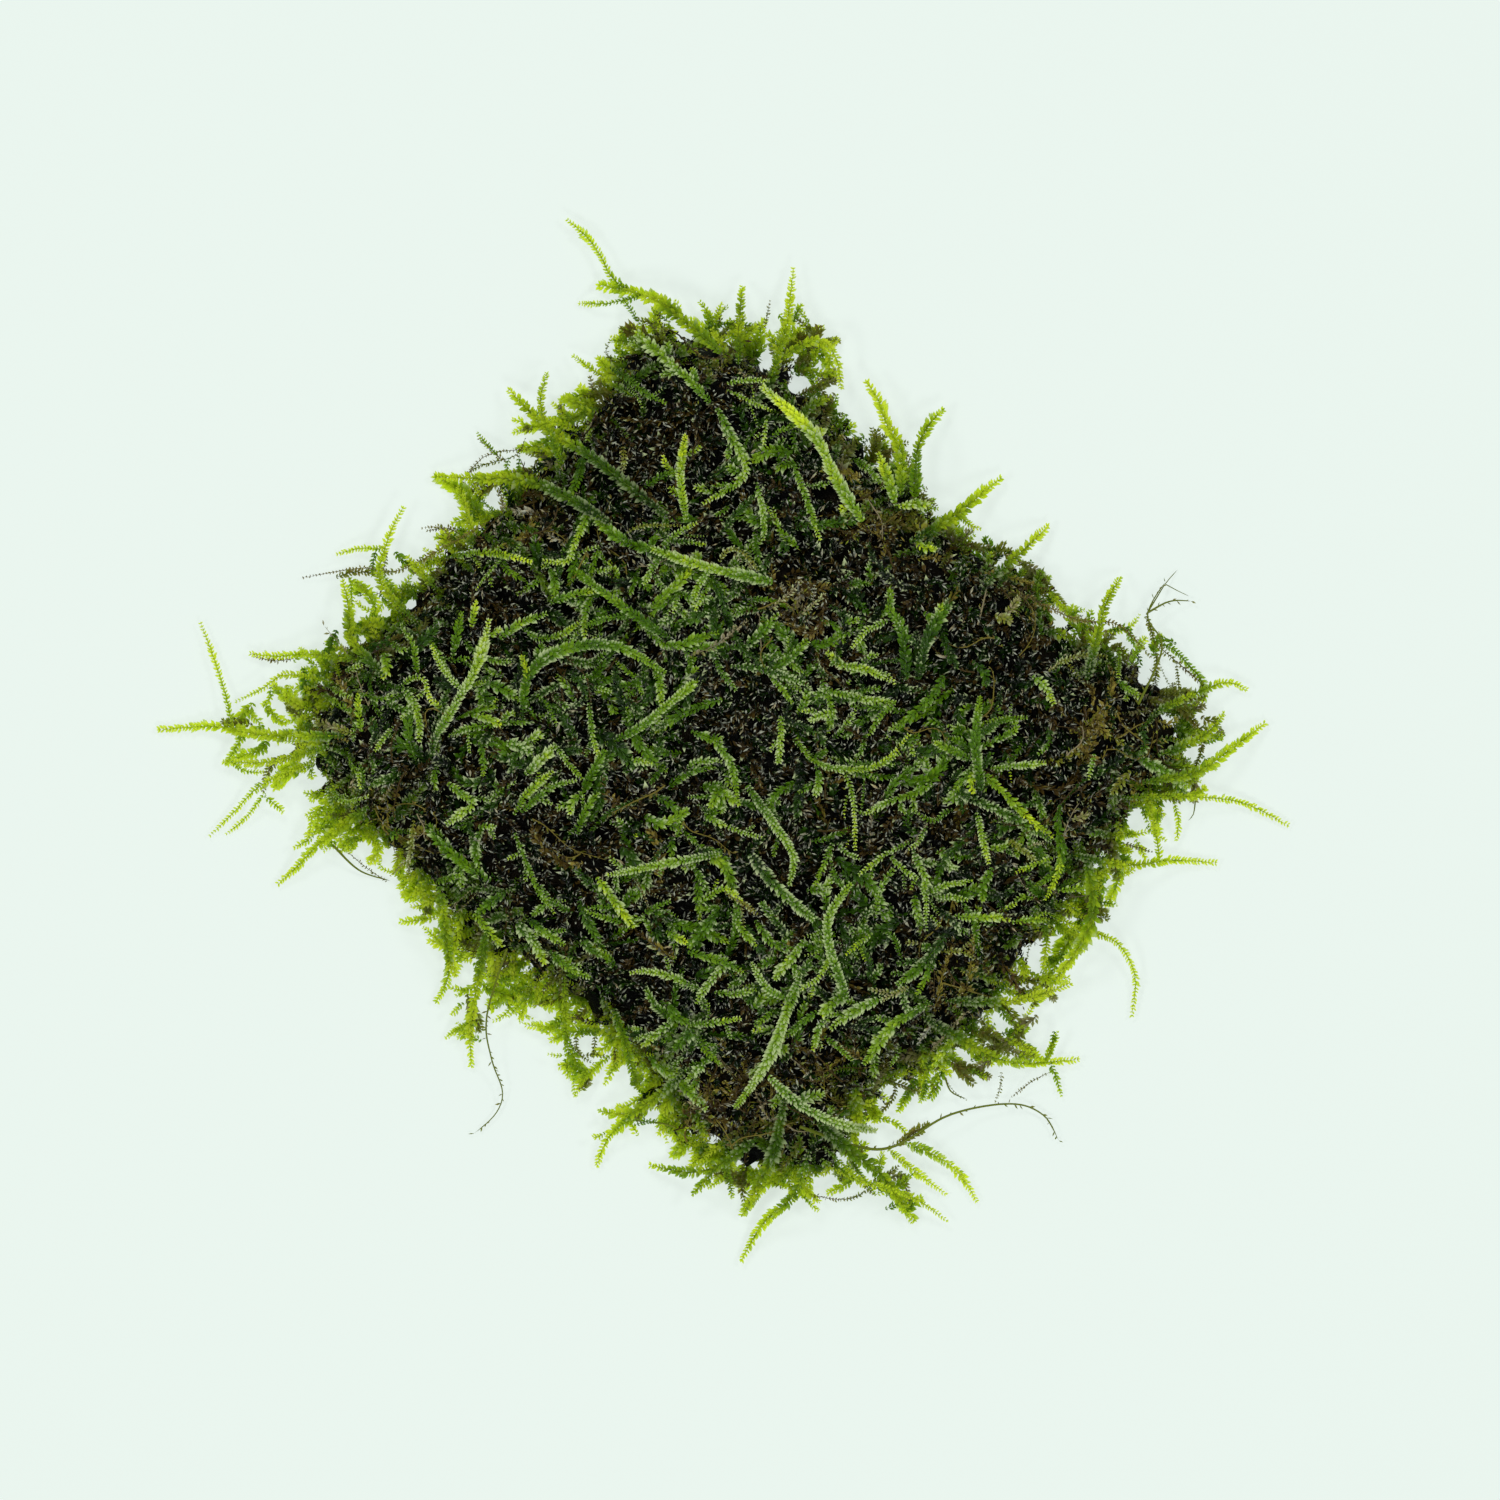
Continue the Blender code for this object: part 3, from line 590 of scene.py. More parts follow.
def bare_stem(growth, line, width, tone, scraps=0.0, up=UP):
    """A round stem, with dead leaves at this share of its stations."""
    bones = walk(line, JOINT_STEP / 2)
    _, sideways, upwards = directions(bones, up)
    ends = np.linspace(0, 1, len(bones))
    radii = width / 2 * (1 - 0.6 * ends) * np.minimum(1, (1 - ends) * 20)
    lay_stem(growth, ROUND_STEM, bones, sideways, upwards, radii, tone)
    if scraps:
        spots = walk(line, DEAD_LEAF_STEP)
        forwards, sideways, upwards = directions(spots, up)
        kept = chance.random(len(spots)) < scraps
        jitter = chance.normal(size=(4, len(spots)))
        angle = np.where(jitter[0] > 0, 1, -1) * (0.6 + 0.3 * jitter[1])
        flat = forwards * np.cos(angle)[:, None] + sideways * np.sin(angle)[:, None]
        ways = unit(flat + 0.4 * jitter[2][:, None] * upwards)
        length = 0.7 + 0.15 * jitter[3]
        lay_leaves(
            growth, SMALL_LEAF, spots[kept], ways[kept], upwards[kept], length[kept], 0.4 * length[kept],
            jitter[0][kept], tone + TONE_JITTER * 2 * jitter[1][kept], np.full(kept.sum(), DEAD_LEAF_FROST_GLINT),
        )


# %% [markdown]
# ## Finished pieces
# A piece is made from its growth, takes the given material and rides with the pad.
# Where it stands for solids of the model, those are hidden.

# %% Make a piece
made = {}


def finish_piece(name, growth, material, slot, *solids):
    """One finished object of a growth."""
    mesh = growth.mesh(name)
    mesh.materials.append(material)
    piece = add_object(name, mesh)
    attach(piece, "root")
    if solids:
        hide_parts(*solids)
    made[name] = len(mesh.polygons)


# %% [markdown]
# ## The rim and the light that comes through it
# Round the rim light reaches the shoots from all sides and from below. There their tone is painted bright,
# golden or olive, while over the thick felt the same shoots are painted green with frosted, glinting tips.
# How deep the light reaches, which tones the growth has there and how many short shoots stick out differ
# from side to side.

# %% The rim's corners and sides
LEFT_CORNER = (-55, 0.5)
TOP_CORNER = (-7, 55)
RIGHT_CORNER = (61, -1)
BOTTOM_CORNER = (12, -57.5)
UPPER_LEFT_SIDE = [(-50, 11.5), (-42, 19), (-36, 25), (-28.5, 32), (-21.5, 39.5), (-15.5, 47), (-12.5, 51.5)]
TOP_RIGHT_SIDE = [(-1, 53.3), (5, 52.2), (11.4, 50.2)]
SHOULDER = (12.9, 44.6)
UPPER_RIGHT_SIDE = [
    (15, 40.4), (19, 38.2), (23, 34.2), (27.2, 28.2), (33, 24.8), (40, 20.8), (44, 14.3), (51.5, 11.5),
    (57.5, 7.5),
]
LOWER_RIGHT_TOP = [(59, -5), (54, -10), (50.5, -16.5)]
LOWER_RIGHT_MIDDLE = [(50.5, -16.5), (48, -23), (42.5, -28.5), (36.5, -35.5)]
LOWER_RIGHT_END = [(36.5, -35.5), (28.5, -40.5), (22.5, -44.5), (18, -51), (16.5, -55)]
LOWER_LEFT_SIDE = [
    (4.5, -57), (-3, -54.5), (-7.5, -49.5), (-10.5, -44), (-16.5, -37.5), (-22.5, -33), (-28.5, -30),
    (-35, -25), (-41, -18), (-48, -12), (-52.5, -6.5),
]
GREEN_MIX = ("olive", "olive", "green", "fresh", "fresh")
GOLDEN_MIX = ("olive", "olive", "fresh", "bright", "bright")
BRIGHT_MIX = ("olive", "fresh", "bright", "bright", "bright")
LEMON_MIX = ("olive", "bright", "bright", "bright", "lemon")
# Clockwise, so that outside is on the left hand: the side's points, how many short shoots it has to each
# millimetre, how deep light reaches, how far inside the rim the felt ends, and the tones
SIDES = [
    ([LEFT_CORNER, *UPPER_LEFT_SIDE, TOP_CORNER], 0.9, 5.5, 2.4, BRIGHT_MIX),
    ([TOP_CORNER, *TOP_RIGHT_SIDE, SHOULDER], 0.8, 7.5, 3.6, GOLDEN_MIX),
    ([SHOULDER, *UPPER_RIGHT_SIDE, RIGHT_CORNER], 0.7, 3.0, 1.2, GREEN_MIX),
    ([RIGHT_CORNER, *LOWER_RIGHT_TOP], 0.8, 4.5, 2.0, BRIGHT_MIX),
    (LOWER_RIGHT_MIDDLE, 0.5, 7.5, 4.8, BRIGHT_MIX),
    ([*LOWER_RIGHT_END, BOTTOM_CORNER], 0.8, 4.5, 2.2, GOLDEN_MIX),
    ([BOTTOM_CORNER, *LOWER_LEFT_SIDE, LEFT_CORNER], 1.1, 5.0, 2.4, LEMON_MIX),
]
# Holes between the shoots through which the floor shows, clockwise from the left corner: middle and radius
HOLES = [
    (-59.9, -0.3, 0.9), (-56.4, 4.2, 0.6), (-54.7, 7.7, 0.7), (-53.9, 5.9, 0.4), (-46.3, 15.5, 0.5),
    (-46, 12.6, 0.5), (-42.5, 16, 0.5), (-45.6, 17.2, 0.6), (-44.4, 20, 0.5), (-41.4, 20.2, 0.5),
    (-39.8, 17.4, 0.5), (-43.5, 23.2, 0.5), (-42.3, 23, 0.5), (-39.2, 20.3, 0.4), (-29.4, 30.3, 0.4),
    (-27.1, 34.6, 0.5), (-24.8, 35.3, 0.8), (-24.1, 38.4, 0.6), (-29, 34.4, 0.4), (-30.6, 33.9, 0.4),
    (-21.8, 41.6, 0.6), (-5.2, 51.7, 1), (-3.5, 54.4, 0.9), (6.5, 52.7, 0.7), (5.3, 47.7, 0.9),
    (12, 47.7, 0.7), (9.1, 45, 0.8), (9.9, 42.4, 0.4), (16.5, 35.9, 0.5), (42.4, 15.3, 1),
    (50.2, 12.9, 0.6), (51.1, 12.1, 0.4), (53, 13.4, 1.1), (53.6, 11.1, 0.5), (53.5, 8.1, 0.9),
    (55.7, 7.3, 0.6), (56.8, 8.3, 0.7), (58.9, 7.5, 1.1), (59.5, -1.6, 0.6), (59, -9, 1.2),
    (56.1, -8.5, 0.5), (52.3, -10.2, 1.1), (52.3, -14.8, 0.6), (47.1, -16, 0.5), (48.8, -19.2, 0.8),
    (44, -22.9, 0.3), (42.3, -25.5, 0.6), (39.7, -26.2, 1), (39.4, -28.2, 0.8), (36.5, -26.9, 0.4),
    (37.6, -34.3, 0.8), (35.5, -36.4, 0.4), (34.5, -35.3, 0.3), (35.3, -40.1, 0.7), (30.4, -40, 0.6),
    (20.7, -44.5, 0.5), (19.7, -46.3, 0.4), (20.5, -50.1, 1.6), (19.1, -50.2, 1.3), (14.9, -53, 0.6),
    (18.3, -55, 0.6), (16, -57.1, 0.7), (13.1, -56.4, 1), (11.8, -56.2, 0.6), (6.2, -57.9, 1),
    (3.6, -53.2, 0.4), (1.8, -54, 0.5), (-4.8, -53, 0.6), (-6.9, -51.8, 0.5), (-8.8, -47.8, 0.7),
    (-12.4, -42.5, 0.9), (-14.5, -40.9, 0.3), (-17.3, -40.9, 0.4), (-15.7, -38.3, 0.4), (-17.5, -38.6, 0.8),
    (-22.8, -35.2, 0.7), (-30.6, -35.1, 0.6), (-30.4, -32.9, 0.5), (-32.6, -29.4, 0.8), (-37.2, -23.6, 0.8),
    (-42.8, -15.2, 1), (-45.5, -13.8, 0.9), (-51.1, -5.1, 0.7), (-53.2, -2.7, 0.4), (-57.2, -1.1, 0.6),
    (-59, -3.1, 0.6),
]
# Clumps of new shoots that stand clear of the felt, clockwise from the left corner: middle and radius
CLUMPS = [
    (-60.7, 2, 1.8), (-58, -0.7, 1.4), (-54.9, 5.1, 2.2), (-52.5, 6.9, 2), (-53.2, 10.7, 1),
    (-47.1, 15.4, 1.2), (-44.7, 14.1, 1.2), (-43.7, 16.3, 1.2), (-42.2, 17.7, 1.8), (-38.8, 20.6, 1.6),
    (-32.3, 30.1, 1.5), (-30.8, 31, 2.4), (-27.6, 32.5, 1.2), (-23.8, 37.4, 1.2), (-23.5, 40.3, 2.2),
    (-20.4, 41, 1.6), (-1.6, 54, 1.6), (-1.2, 51.5, 1.5), (1.1, 51.1, 2.2), (7.9, 49.2, 2),
    (9.1, 51.7, 2.4), (10.4, 48.7, 2.2), (10, 47, 1.6), (12.5, 50.4, 1.2), (13.1, 46.2, 0.8),
    (19.5, 36, 1.5), (21, 36.5, 2), (44.8, 15.1, 1.6), (50.2, 13.8, 0.9), (52.8, 11.1, 1.4),
    (55.7, 11.5, 1.4), (57.8, 3.9, 2.2), (61.8, 1.4, 1.3), (59.1, 0.1, 1.8), (60.3, -3.5, 1.6),
    (57.4, -5.4, 2), (58.9, -6.3, 1.8), (54.5, -11.9, 1.2), (52, -13.3, 1), (49.6, -15.5, 1.8),
    (50.1, -17.7, 1.2), (47.2, -19.7, 1.8), (45.2, -21.1, 2), (45.5, -23.5, 1.4), (43.6, -26, 1.4),
    (40.9, -26.9, 1.2), (41.4, -28.9, 1.6), (38.7, -30.4, 2), (39.9, -32.3, 1.6), (37, -36.2, 1.2),
    (37.5, -35.3, 1.2), (34.6, -36.4, 1.6), (35.9, -38.7, 1.8), (34.1, -39.8, 1.4), (32.3, -38.9, 2),
    (31.4, -42.1, 1.3), (26.4, -43.2, 1.5), (19.2, -47.5, 1.2), (16.9, -45.7, 1.4), (17.1, -47.8, 1.6),
    (19.6, -54.3, 2), (21.7, -56.6, 1.5), (22.6, -59.1, 1.4), (11, -55.7, 1.3), (10.3, -55.8, 1.8),
    (4, -57.9, 1.3), (5.3, -55.1, 1.8), (-0.6, -54.1, 1.8), (-2.3, -52.4, 2.2), (-9.9, -46.1, 1.6),
    (-10.7, -43.1, 1), (-17, -41.7, 1), (-18.5, -41.4, 1.3), (-14, -40.6, 1.3), (-16, -39.6, 1.4),
    (-17, -36.6, 1.6), (-19.6, -37.8, 1.3), (-21.8, -35.6, 1.3), (-22.6, -33.5, 1.5), (-24.7, -32.9, 2.4),
    (-27.7, -32.9, 2.2), (-26.4, -29.5, 2), (-31.9, -36.3, 1.4), (-31.9, -34, 1.2), (-31.9, -31.2, 1.5),
    (-32.1, -27.6, 2.2), (-34.8, -26.2, 1.6), (-35.3, -23.6, 1.5), (-37.8, -19.4, 1.4), (-47.1, -12.3, 1.4),
    (-50, -10.9, 2.6), (-51.5, -7, 1.2), (-54.4, -4.1, 1.5), (-45.5, 19.4, 1.1), (-46.8, 18.2, 0.9),
    (-41.6, 17.6, 1), (-17.9, -42.3, 1.6), (38.2, -39.6, 1.4), (-12, -48.4, 1.2), (-55.9, 5.5, 1.3),
    (-61, -1.6, 1.1),
]

# %% Light and tones at the rim
FADE = 0.6  # of that depth, over which the light fades away
HOLE_MARGIN = 0.35  # how far from a hole a shoot's middle stays
RIM_REACH = 1.1  # how far over the rim a scattered shoot may reach
LIT_FROST_GLINT = 0.12
UNLIT_FROST_GLINT = 0.7
OLD_FROST_GLINT = 0.1
rim_walks = [walk(smooth_curve(points), 1.0) for points, *_ in SIDES]
rim_spots = np.concatenate(rim_walks)
rim_sides = np.repeat(np.arange(len(SIDES)), [len(spots) for spots in rim_walks])
rim_outwards = np.concatenate([unit(np.gradient(spots, axis=0))[:, ::-1] * (-1, 1) for spots in rim_walks])
light_depths = np.array([depth for _, _, depth, _, _ in SIDES])
felt_edges = np.array([edge for _, _, _, edge, _ in SIDES])
holes = np.array(HOLES)
clumps = np.array(CLUMPS)


def rim_nearest(route):
    """The number of the rim's nearest spot to each point of a route, and how far inside it the point lies."""
    gaps = np.atleast_2d(route)[:, None, :2] - rim_spots
    nearest = np.argmin((gaps**2).sum(axis=2), axis=1)
    inside = -(gaps[np.arange(len(nearest)), nearest] * rim_outwards[nearest]).sum(axis=1)
    return nearest, inside


def rim_light(route):
    """How much light comes through at each point of a route: none deep in the pad, and all outside it."""
    nearest, inside = rim_nearest(route)
    depth = light_depths[rim_sides[nearest]]
    gaps = np.linalg.norm(np.atleast_2d(route)[:, None, :2] - clumps[:, :2], axis=2)
    in_clump = np.clip(2 * (1.4 - gaps / clumps[:, 2]), 0, 1).max(axis=1)
    return np.maximum(np.clip((depth - inside) / (depth * FADE), 0, 1), in_clump)


def crosses_hole(route):
    """Whether a route comes too near to a hole."""
    gaps = np.linalg.norm(route[:, None, :2] - holes[:, :2], axis=2)
    return (gaps < holes[:, 2] + HOLE_MARGIN).any()


def strays(route):
    """Whether a route leaves the pad anywhere but at a clump."""
    inside = rim_nearest(route)[1]
    gaps = np.linalg.norm(route[:, None, :2] - clumps[:, :2], axis=2)
    return ((inside < -RIM_REACH) & (gaps > clumps[:, 2] + RIM_REACH).all(axis=1)).any()


def drawn_tone(names, shares=None):
    """The place on the map of one of these tones, drawn by chance."""
    return TONES[chance.choice(names, p=shares)]


def rim_tone(place):
    """A tone drawn from those of the nearest side."""
    return drawn_tone(SIDES[rim_sides[rim_nearest(place)[0][0]]][-1])


def lit_shoot(growth, line, width, tone, **more):
    """A shoot painted bright where light comes through, and green with glinting tips elsewhere, unless it is
    old.
    """
    light = rim_light(line)
    young = tone > TONES["brown"]
    unlit = TONES["green"] if young else tone
    frost_glint = UNLIT_FROST_GLINT if young else OLD_FROST_GLINT
    # Painted backlight: the tone runs from green towards the rim's own tone as far as light comes through,
    # and the glint of the tips fades there
    tones = unlit + (tone - unlit) * light
    leafy_shoot(growth, line, width, tones, frost_glint + (LIT_FROST_GLINT - frost_glint) * light, **more)


# %% [markdown]
# ## The felt inside
# Under all shoots lies a felt of old stems and leaves, nearly black when wet. It starts as the model's own
# solid, drawn in a little so that the shoots over it come out where the solid was. A remesh swallows the
# solid's tufts and gives even cells, and a crumbly relief is pushed into them.

# %% The felt's shape
FELT_INSET = 1.3
FELT_CELL = 1.0
FELT_SMOOTHING = 8
CRUMBS = ((2.6, 0.9), (1.1, 0.5))  # spacing and height
FELT_BOTTOM = 0.6  # the lowest that the felt reaches
EDGE_WAVER = 1.6  # how far its edge wavers in and out
EDGE_SPACING = 2.4
EDGE_SOFTNESS = 0.5  # how gently the felt is drawn in at its edge
SAME_SPOT = 0.001

felt_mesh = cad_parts["mat"].data.copy()
felt_mesh.name = "mat_felt"
felt = add_object("mat_felt", felt_mesh)
whole = bmesh.new()
whole.from_mesh(felt_mesh)
bmesh.ops.remove_doubles(whole, verts=whole.verts, dist=SAME_SPOT * MM)
whole.to_mesh(felt_mesh)
whole.free()

inset = felt.modifiers.new("inset", "DISPLACE")
inset.strength = -FELT_INSET * MM
inset.mid_level = 0
cells = felt.modifiers.new("cells", "REMESH")
cells.mode = "VOXEL"
cells.voxel_size = FELT_CELL * MM
calm = felt.modifiers.new("calm", "SMOOTH")
calm.factor = 0.5
calm.iterations = FELT_SMOOTHING
bpy.context.view_layer.update()
calmed = bpy.data.meshes.new_from_object(felt.evaluated_get(bpy.context.evaluated_depsgraph_get()))
felt.modifiers.clear()
felt.data = calmed
calmed.name = "mat_felt"

# %% The felt's crumbly relief
crumbly = bmesh.new()
crumbly.from_mesh(calmed)
unseen = set(crumbly.verts)
lumps = []
while unseen:
    lump = [unseen.pop()]
    for vertex in lump:
        near = {edge.other_vert(vertex) for edge in vertex.link_edges} & unseen
        unseen -= near
        lump.extend(near)
    lumps.append(lump)
lumps.sort(key=len)
print("loose lumps taken away:", len(lumps) - 1)
bmesh.ops.delete(crumbly, geom=[vertex for lump in lumps[:-1] for vertex in lump], context="VERTS")
bmesh.ops.triangulate(crumbly, faces=crumbly.faces[:])
crumbly.normal_update()
for vertex in crumbly.verts:
    spot = vertex.co / MM
    rise = sum(height * noise.noise(spot / spacing) for spacing, height in CRUMBS)
    vertex.co = vertex.co + vertex.normal * rise * MM
    vertex.co.z = max(vertex.co.z, FELT_BOTTOM * MM)
spots = np.array([vertex.co for vertex in crumbly.verts]) / MM
nearest, inside = rim_nearest(spots)
wavers = np.array([noise.noise(Vector((x, y, 0)) / EDGE_SPACING) for x, y, _ in spots]) * EDGE_WAVER
pulled = felt_edges[rim_sides[nearest]] + wavers - inside
spots[:, :2] -= rim_outwards[nearest] * (EDGE_SOFTNESS * np.logaddexp(0, pulled / EDGE_SOFTNESS))[:, None]
for x, y, radius in HOLES + CLUMPS:
    gap = spots[:, :2] - (x, y)
    inwards = -rim_outwards[nearest]
    along = (gap * inwards).sum(axis=1)
    beside = (gap * inwards[:, ::-1] * (-1, 1)).sum(axis=1)
    reach = np.sqrt(np.maximum((radius + HOLE_MARGIN) ** 2 - beside**2, 0))
    spots[:, :2] += inwards * np.where(np.abs(along) < reach, reach - along, 0)[:, None]
for vertex, spot in zip(crumbly.verts, spots):
    vertex.co = spot * MM
crumbly.to_mesh(calmed)
felt_tree = BVHTree.FromBMesh(crumbly)
crumbly.free()
calmed.polygons.foreach_set("use_smooth", np.ones(len(calmed.polygons), bool))
made["mat_felt"] = len(calmed.polygons)
highest = max(vertex.co.z for vertex in calmed.vertices) / MM
print("the felt has", len(calmed.polygons), "faces, up to", highest, "mm high")

# %% The felt's finish
FELT_COLOURS = [(0.35, (3, 5, 3)), (0.5, (7, 9, 5)), (0.62, (22, 18, 10)), (0.72, (12, 19, 6))]
PATCH_SCALE = 160
THREAD_SCALE = 1800
THREAD_DEPTH = 0.0004

felt_material, nodes, link, shader = new_material("old felt")
patches = noise_texture(nodes, link, PATCH_SCALE, Detail=4)
felt_tones = ramp(nodes, [(place, linear(colour)) for place, colour in FELT_COLOURS])
link(patches.outputs["Fac"], felt_tones.inputs["Fac"])
link(felt_tones.outputs["Color"], shader.inputs["Base Color"])
threads = noise_texture(nodes, link, THREAD_SCALE, Distortion=2.0)
add_relief(nodes, link, shader, threads, 0.8, THREAD_DEPTH)
wetness = ramp(nodes, [(0.3, grey(0.25)), (0.7, grey(0.6))])
link(threads.outputs["Fac"], wetness.inputs["Fac"])
link(wetness.outputs["Color"], shader.inputs["Roughness"])
shader.inputs["Specular IOR Level"].default_value = 0.05
calmed.materials.clear()
calmed.materials.append(felt_material)
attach(felt, "root")
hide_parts("mat")

# %% [markdown]
# ## The shoots that stand out
# The model has a solid for each shoot that can be told apart. The same routes are walked here, and each
# station's height is read from the solid by looking down and up at it, so the leafy shoot lies exactly
# where the solid does. A row is the width, the route from root to tip and the side branches, each with its
# width and route.

# %% Routes of the shoots round the rim, clockwise from the left corner
RIM_SHOOTS = [
    (1.6, [(-48, 0.5), (-58.3, 0.6), (-64.1, 1.7), (-71.5, 1.3)],
     (1.0, [(-62.4, 1.3), (-63.2, 5.5), (-64.7, 10.2), (-66.4, 14.7)])),
    (0.9, [(-49.5, 7.2), (-55.5, 8.3), (-58.5, 6.5), (-61.8, 4.9)]),
    (1.3, [(-45.5, 10), (-52.5, 10.9), (-56.6, 10.6), (-60, 10.9)]),
    (1.5, [(-43, 8), (-47.1, 12.5), (-47.6, 16.5), (-48.3, 20)]),
    (1.2, [(-39, 15), (-43.6, 20), (-42.6, 25.5), (-40.8, 29.3)],
     (0.8, [(-42.9, 24.2), (-46.2, 24.3), (-49, 23.6)])),
    (1.9, [(-14.2, 27.3), (-19, 30.2), (-24.1, 32.6), (-29.5, 33.1), (-36.4, 33.4)]),
    (1.7, [(-7.4, 28.4), (-13.8, 33.5), (-18, 36.7), (-22, 39.1), (-27.2, 44.3)]),
    (1.2, [(-20.5, 35), (-23.2, 42), (-22.5, 46.4)]),
    (1.2, [(-11.5, 43.5), (-15.6, 46.2), (-19, 48.6)]),
    (2.0, [(-0.3, 49), (-5.7, 53.6), (-8.4, 55.7), (-12.2, 57), (-15.6, 57.7)],
     (1.2, [(-11.6, 56.8), (-14.2, 58.6), (-15.6, 61.3), (-17.4, 63.8), (-19.8, 65.9)]),
     (0.9, [(-10.5, 56.4), (-14.5, 55.4), (-18.2, 55.4)])),
    (1.4, [(1.8, 47.5), (2, 53), (2.3, 57.4)]),
    (1.3, [(6, 46), (8, 53), (8.5, 57), (8.8, 59.7)]),
    (1.4, [(7.5, 48.5), (11.5, 50.6), (14.2, 48.6), (14.8, 44.8)]),
    (1.7, [(22.4, 31), (22.3, 36.6), (20.5, 40.4), (19.7, 42.9), (18.2, 45.2)]),
    (1.6, [(24.2, 30), (24.4, 36), (25.6, 39.4), (27.6, 41.7)]),
    (1.9, [(23.5, 25), (28.5, 27.9), (32.4, 31), (35, 33.1)],
     (1.1, [(29.6, 28.8), (31.2, 27.2), (32.4, 26.8)])),
    (1.5, [(33, 19.8), (37.3, 23.4), (41, 27)]),
    (1.5, [(46, 7.5), (47.4, 13.5), (48.5, 17.4), (50.2, 20.4)]),
    (1.3, [(54, 3.2), (60, 6), (63.8, 7.3), (66.2, 6.4)]),
    (1.5, [(55, -2), (60.5, 0.2), (63.4, 3.2)]),
    (1.5, [(53, -5.4), (59.7, -4.2), (64, -1.4), (68.5, 2)]),
    (1.1, [(50, -7.3), (57.9, -7.2), (65.5, -7.9), (71.5, -10.8)]),
    (1.4, [(43.5, -14.5), (51, -15.9), (56.6, -15.3), (62.3, -15.6)],
     (1.2, [(55.4, -15.4), (54.9, -12.6), (54.4, -10.2)])),
    (1.0, [(40.5, -21.8), (46, -24.2), (49.9, -25.8), (52.2, -30), (51.8, -34.9)]),
    (2.0, [(46, -15.5), (46.8, -21.5), (45.2, -26), (41.6, -31)]),
    (1.4, [(28, -33), (35.7, -33.2), (39.9, -32.4), (43.8, -31)]),
    (1.7, [(25, -35), (31, -38.4), (36.5, -41), (44.8, -40.6)],
     (0.9, [(40.6, -41.1), (41.6, -39), (42.3, -37.2)]),
     (0.8, [(41.4, -41), (42.2, -43), (42.8, -45.1)])),
    (1.9, [(11.5, -48), (16.3, -52.4), (18.8, -54), (21.5, -57.2), (24.1, -60.8)]),
    (1.0, [(12.5, -51.5), (17.5, -55.8), (23.5, -57.8), (28.2, -61)]),
    (1.4, [(10.8, -52), (8.9, -57.6), (5, -61.3), (2.3, -65.9)]),
    (1.9, [(7.6, -45.5), (6.4, -51.8), (4.3, -56.6), (2.4, -60.2)]),
    (1.6, [(4.2, -50.5), (-0.3, -53.8), (-4.5, -54.9), (-9.2, -54)],
     (1.2, [(-1, -54), (-2.4, -56), (-3.9, -57.5)]),
     (1.0, [(-0.1, -53.5), (0.7, -56), (1, -58)])),
    (1.5, [(-5, -42.2), (-9.5, -46.1), (-12.5, -47.5), (-15.8, -47.1)],
     (1.1, [(-11.4, -47.2), (-14.8, -50.7), (-16.1, -53.9)])),
    (1.5, [(-14, -34), (-12.3, -39.1), (-11, -44.2)]),
    (1.0, [(-20.2, -30), (-20.1, -37.1), (-19.4, -41.1), (-18.9, -45.1)]),
    (1.6, [(-30, -24), (-31.3, -31), (-32.2, -36.5), (-32.1, -41.3)],
     (0.9, [(-32.1, -35.8), (-34, -36.8), (-35.2, -37.8)])),
    (1.5, [(-36, -18.5), (-35.2, -25.5), (-35, -30), (-36.4, -33.1)]),
    (1.3, [(-45, -8.5), (-51.1, -13), (-54, -15.9), (-56.5, -18.2)]),
    (1.0, [(-52, -2.6), (-58.8, -5.8), (-62, -9), (-65.2, -12.1)]),
    (1.3, [(-50, -0.8), (-57.5, -2.8), (-63.4, -2.8)]),
]

# %% Routes of the shoots on top, from the left
TOP_SHOOTS = [
    (1.6, [(-36.4, 0.6), (-33.5, 5.3), (-31, 10), (-29.8, 15)],
     (1.1, [(-33, 6.2), (-35.4, 8.6), (-37, 11.8)])),
    (1.7, [(-25.5, 2.6), (-24.6, 8.3), (-20, 11.5), (-13.6, 11.8), (-7.7, 8.6)]),
    (1.7, [(-14, -0.2), (-10.3, 1.8), (-6.8, 4.7), (-2.8, 7.9)]),
    (1.6, [(-6.5, 12.6), (-12.2, 16.4), (-18.9, 21.4)],
     (1.2, [(-11.5, 15.8), (-14.6, 15.4), (-17.6, 14.4)])),
    (1.8, [(6.2, 20), (0.8, 21.1), (-4.4, 22.5), (-9.2, 24.2)],
     (1.1, [(-1.6, 21.6), (-3.2, 19.6), (-4, 17.2)])),
    (1.5, [(-4.8, 27.8), (-5.5, 33.5), (-4.9, 38.4)]),
    (2.1, [(17.6, 27.6), (14, 33.3), (11.4, 38.5), (5, 44.6)]),
    (1.5, [(2.9, -5.8), (6.3, -10.6), (8.8, -14.7), (8.3, -18.2)]),
    (1.4, [(-0.4, -14.4), (-6.4, -15.5), (-14.5, -17.1)]),
    (1.9, [(24.5, 7.6), (25.8, 12.8), (28.6, 17.4)],
     (1.3, [(25.3, 11.4), (22.8, 13.4), (21.4, 16.2)])),
    (1.7, [(32.6, -6.5), (31.8, -0.5), (32.4, 5.2)],
     (1.2, [(31.9, 0.4), (35.2, 2.4), (38.2, 2.8)])),
    (1.6, [(15.7, -33.2), (13.4, -26.3), (13.3, -22.4), (15.9, -18.4)]),
    (1.8, [(9.6, -29.8), (7.6, -35.5), (5.5, -40.8), (1.6, -46.4)],
     (1.3, [(8.4, -33), (5.4, -31.4), (3.6, -28.4)])),
    (1.7, [(5.6, -42.6), (9.8, -46.3), (14.6, -48.6), (19.2, -49.6)]),
]

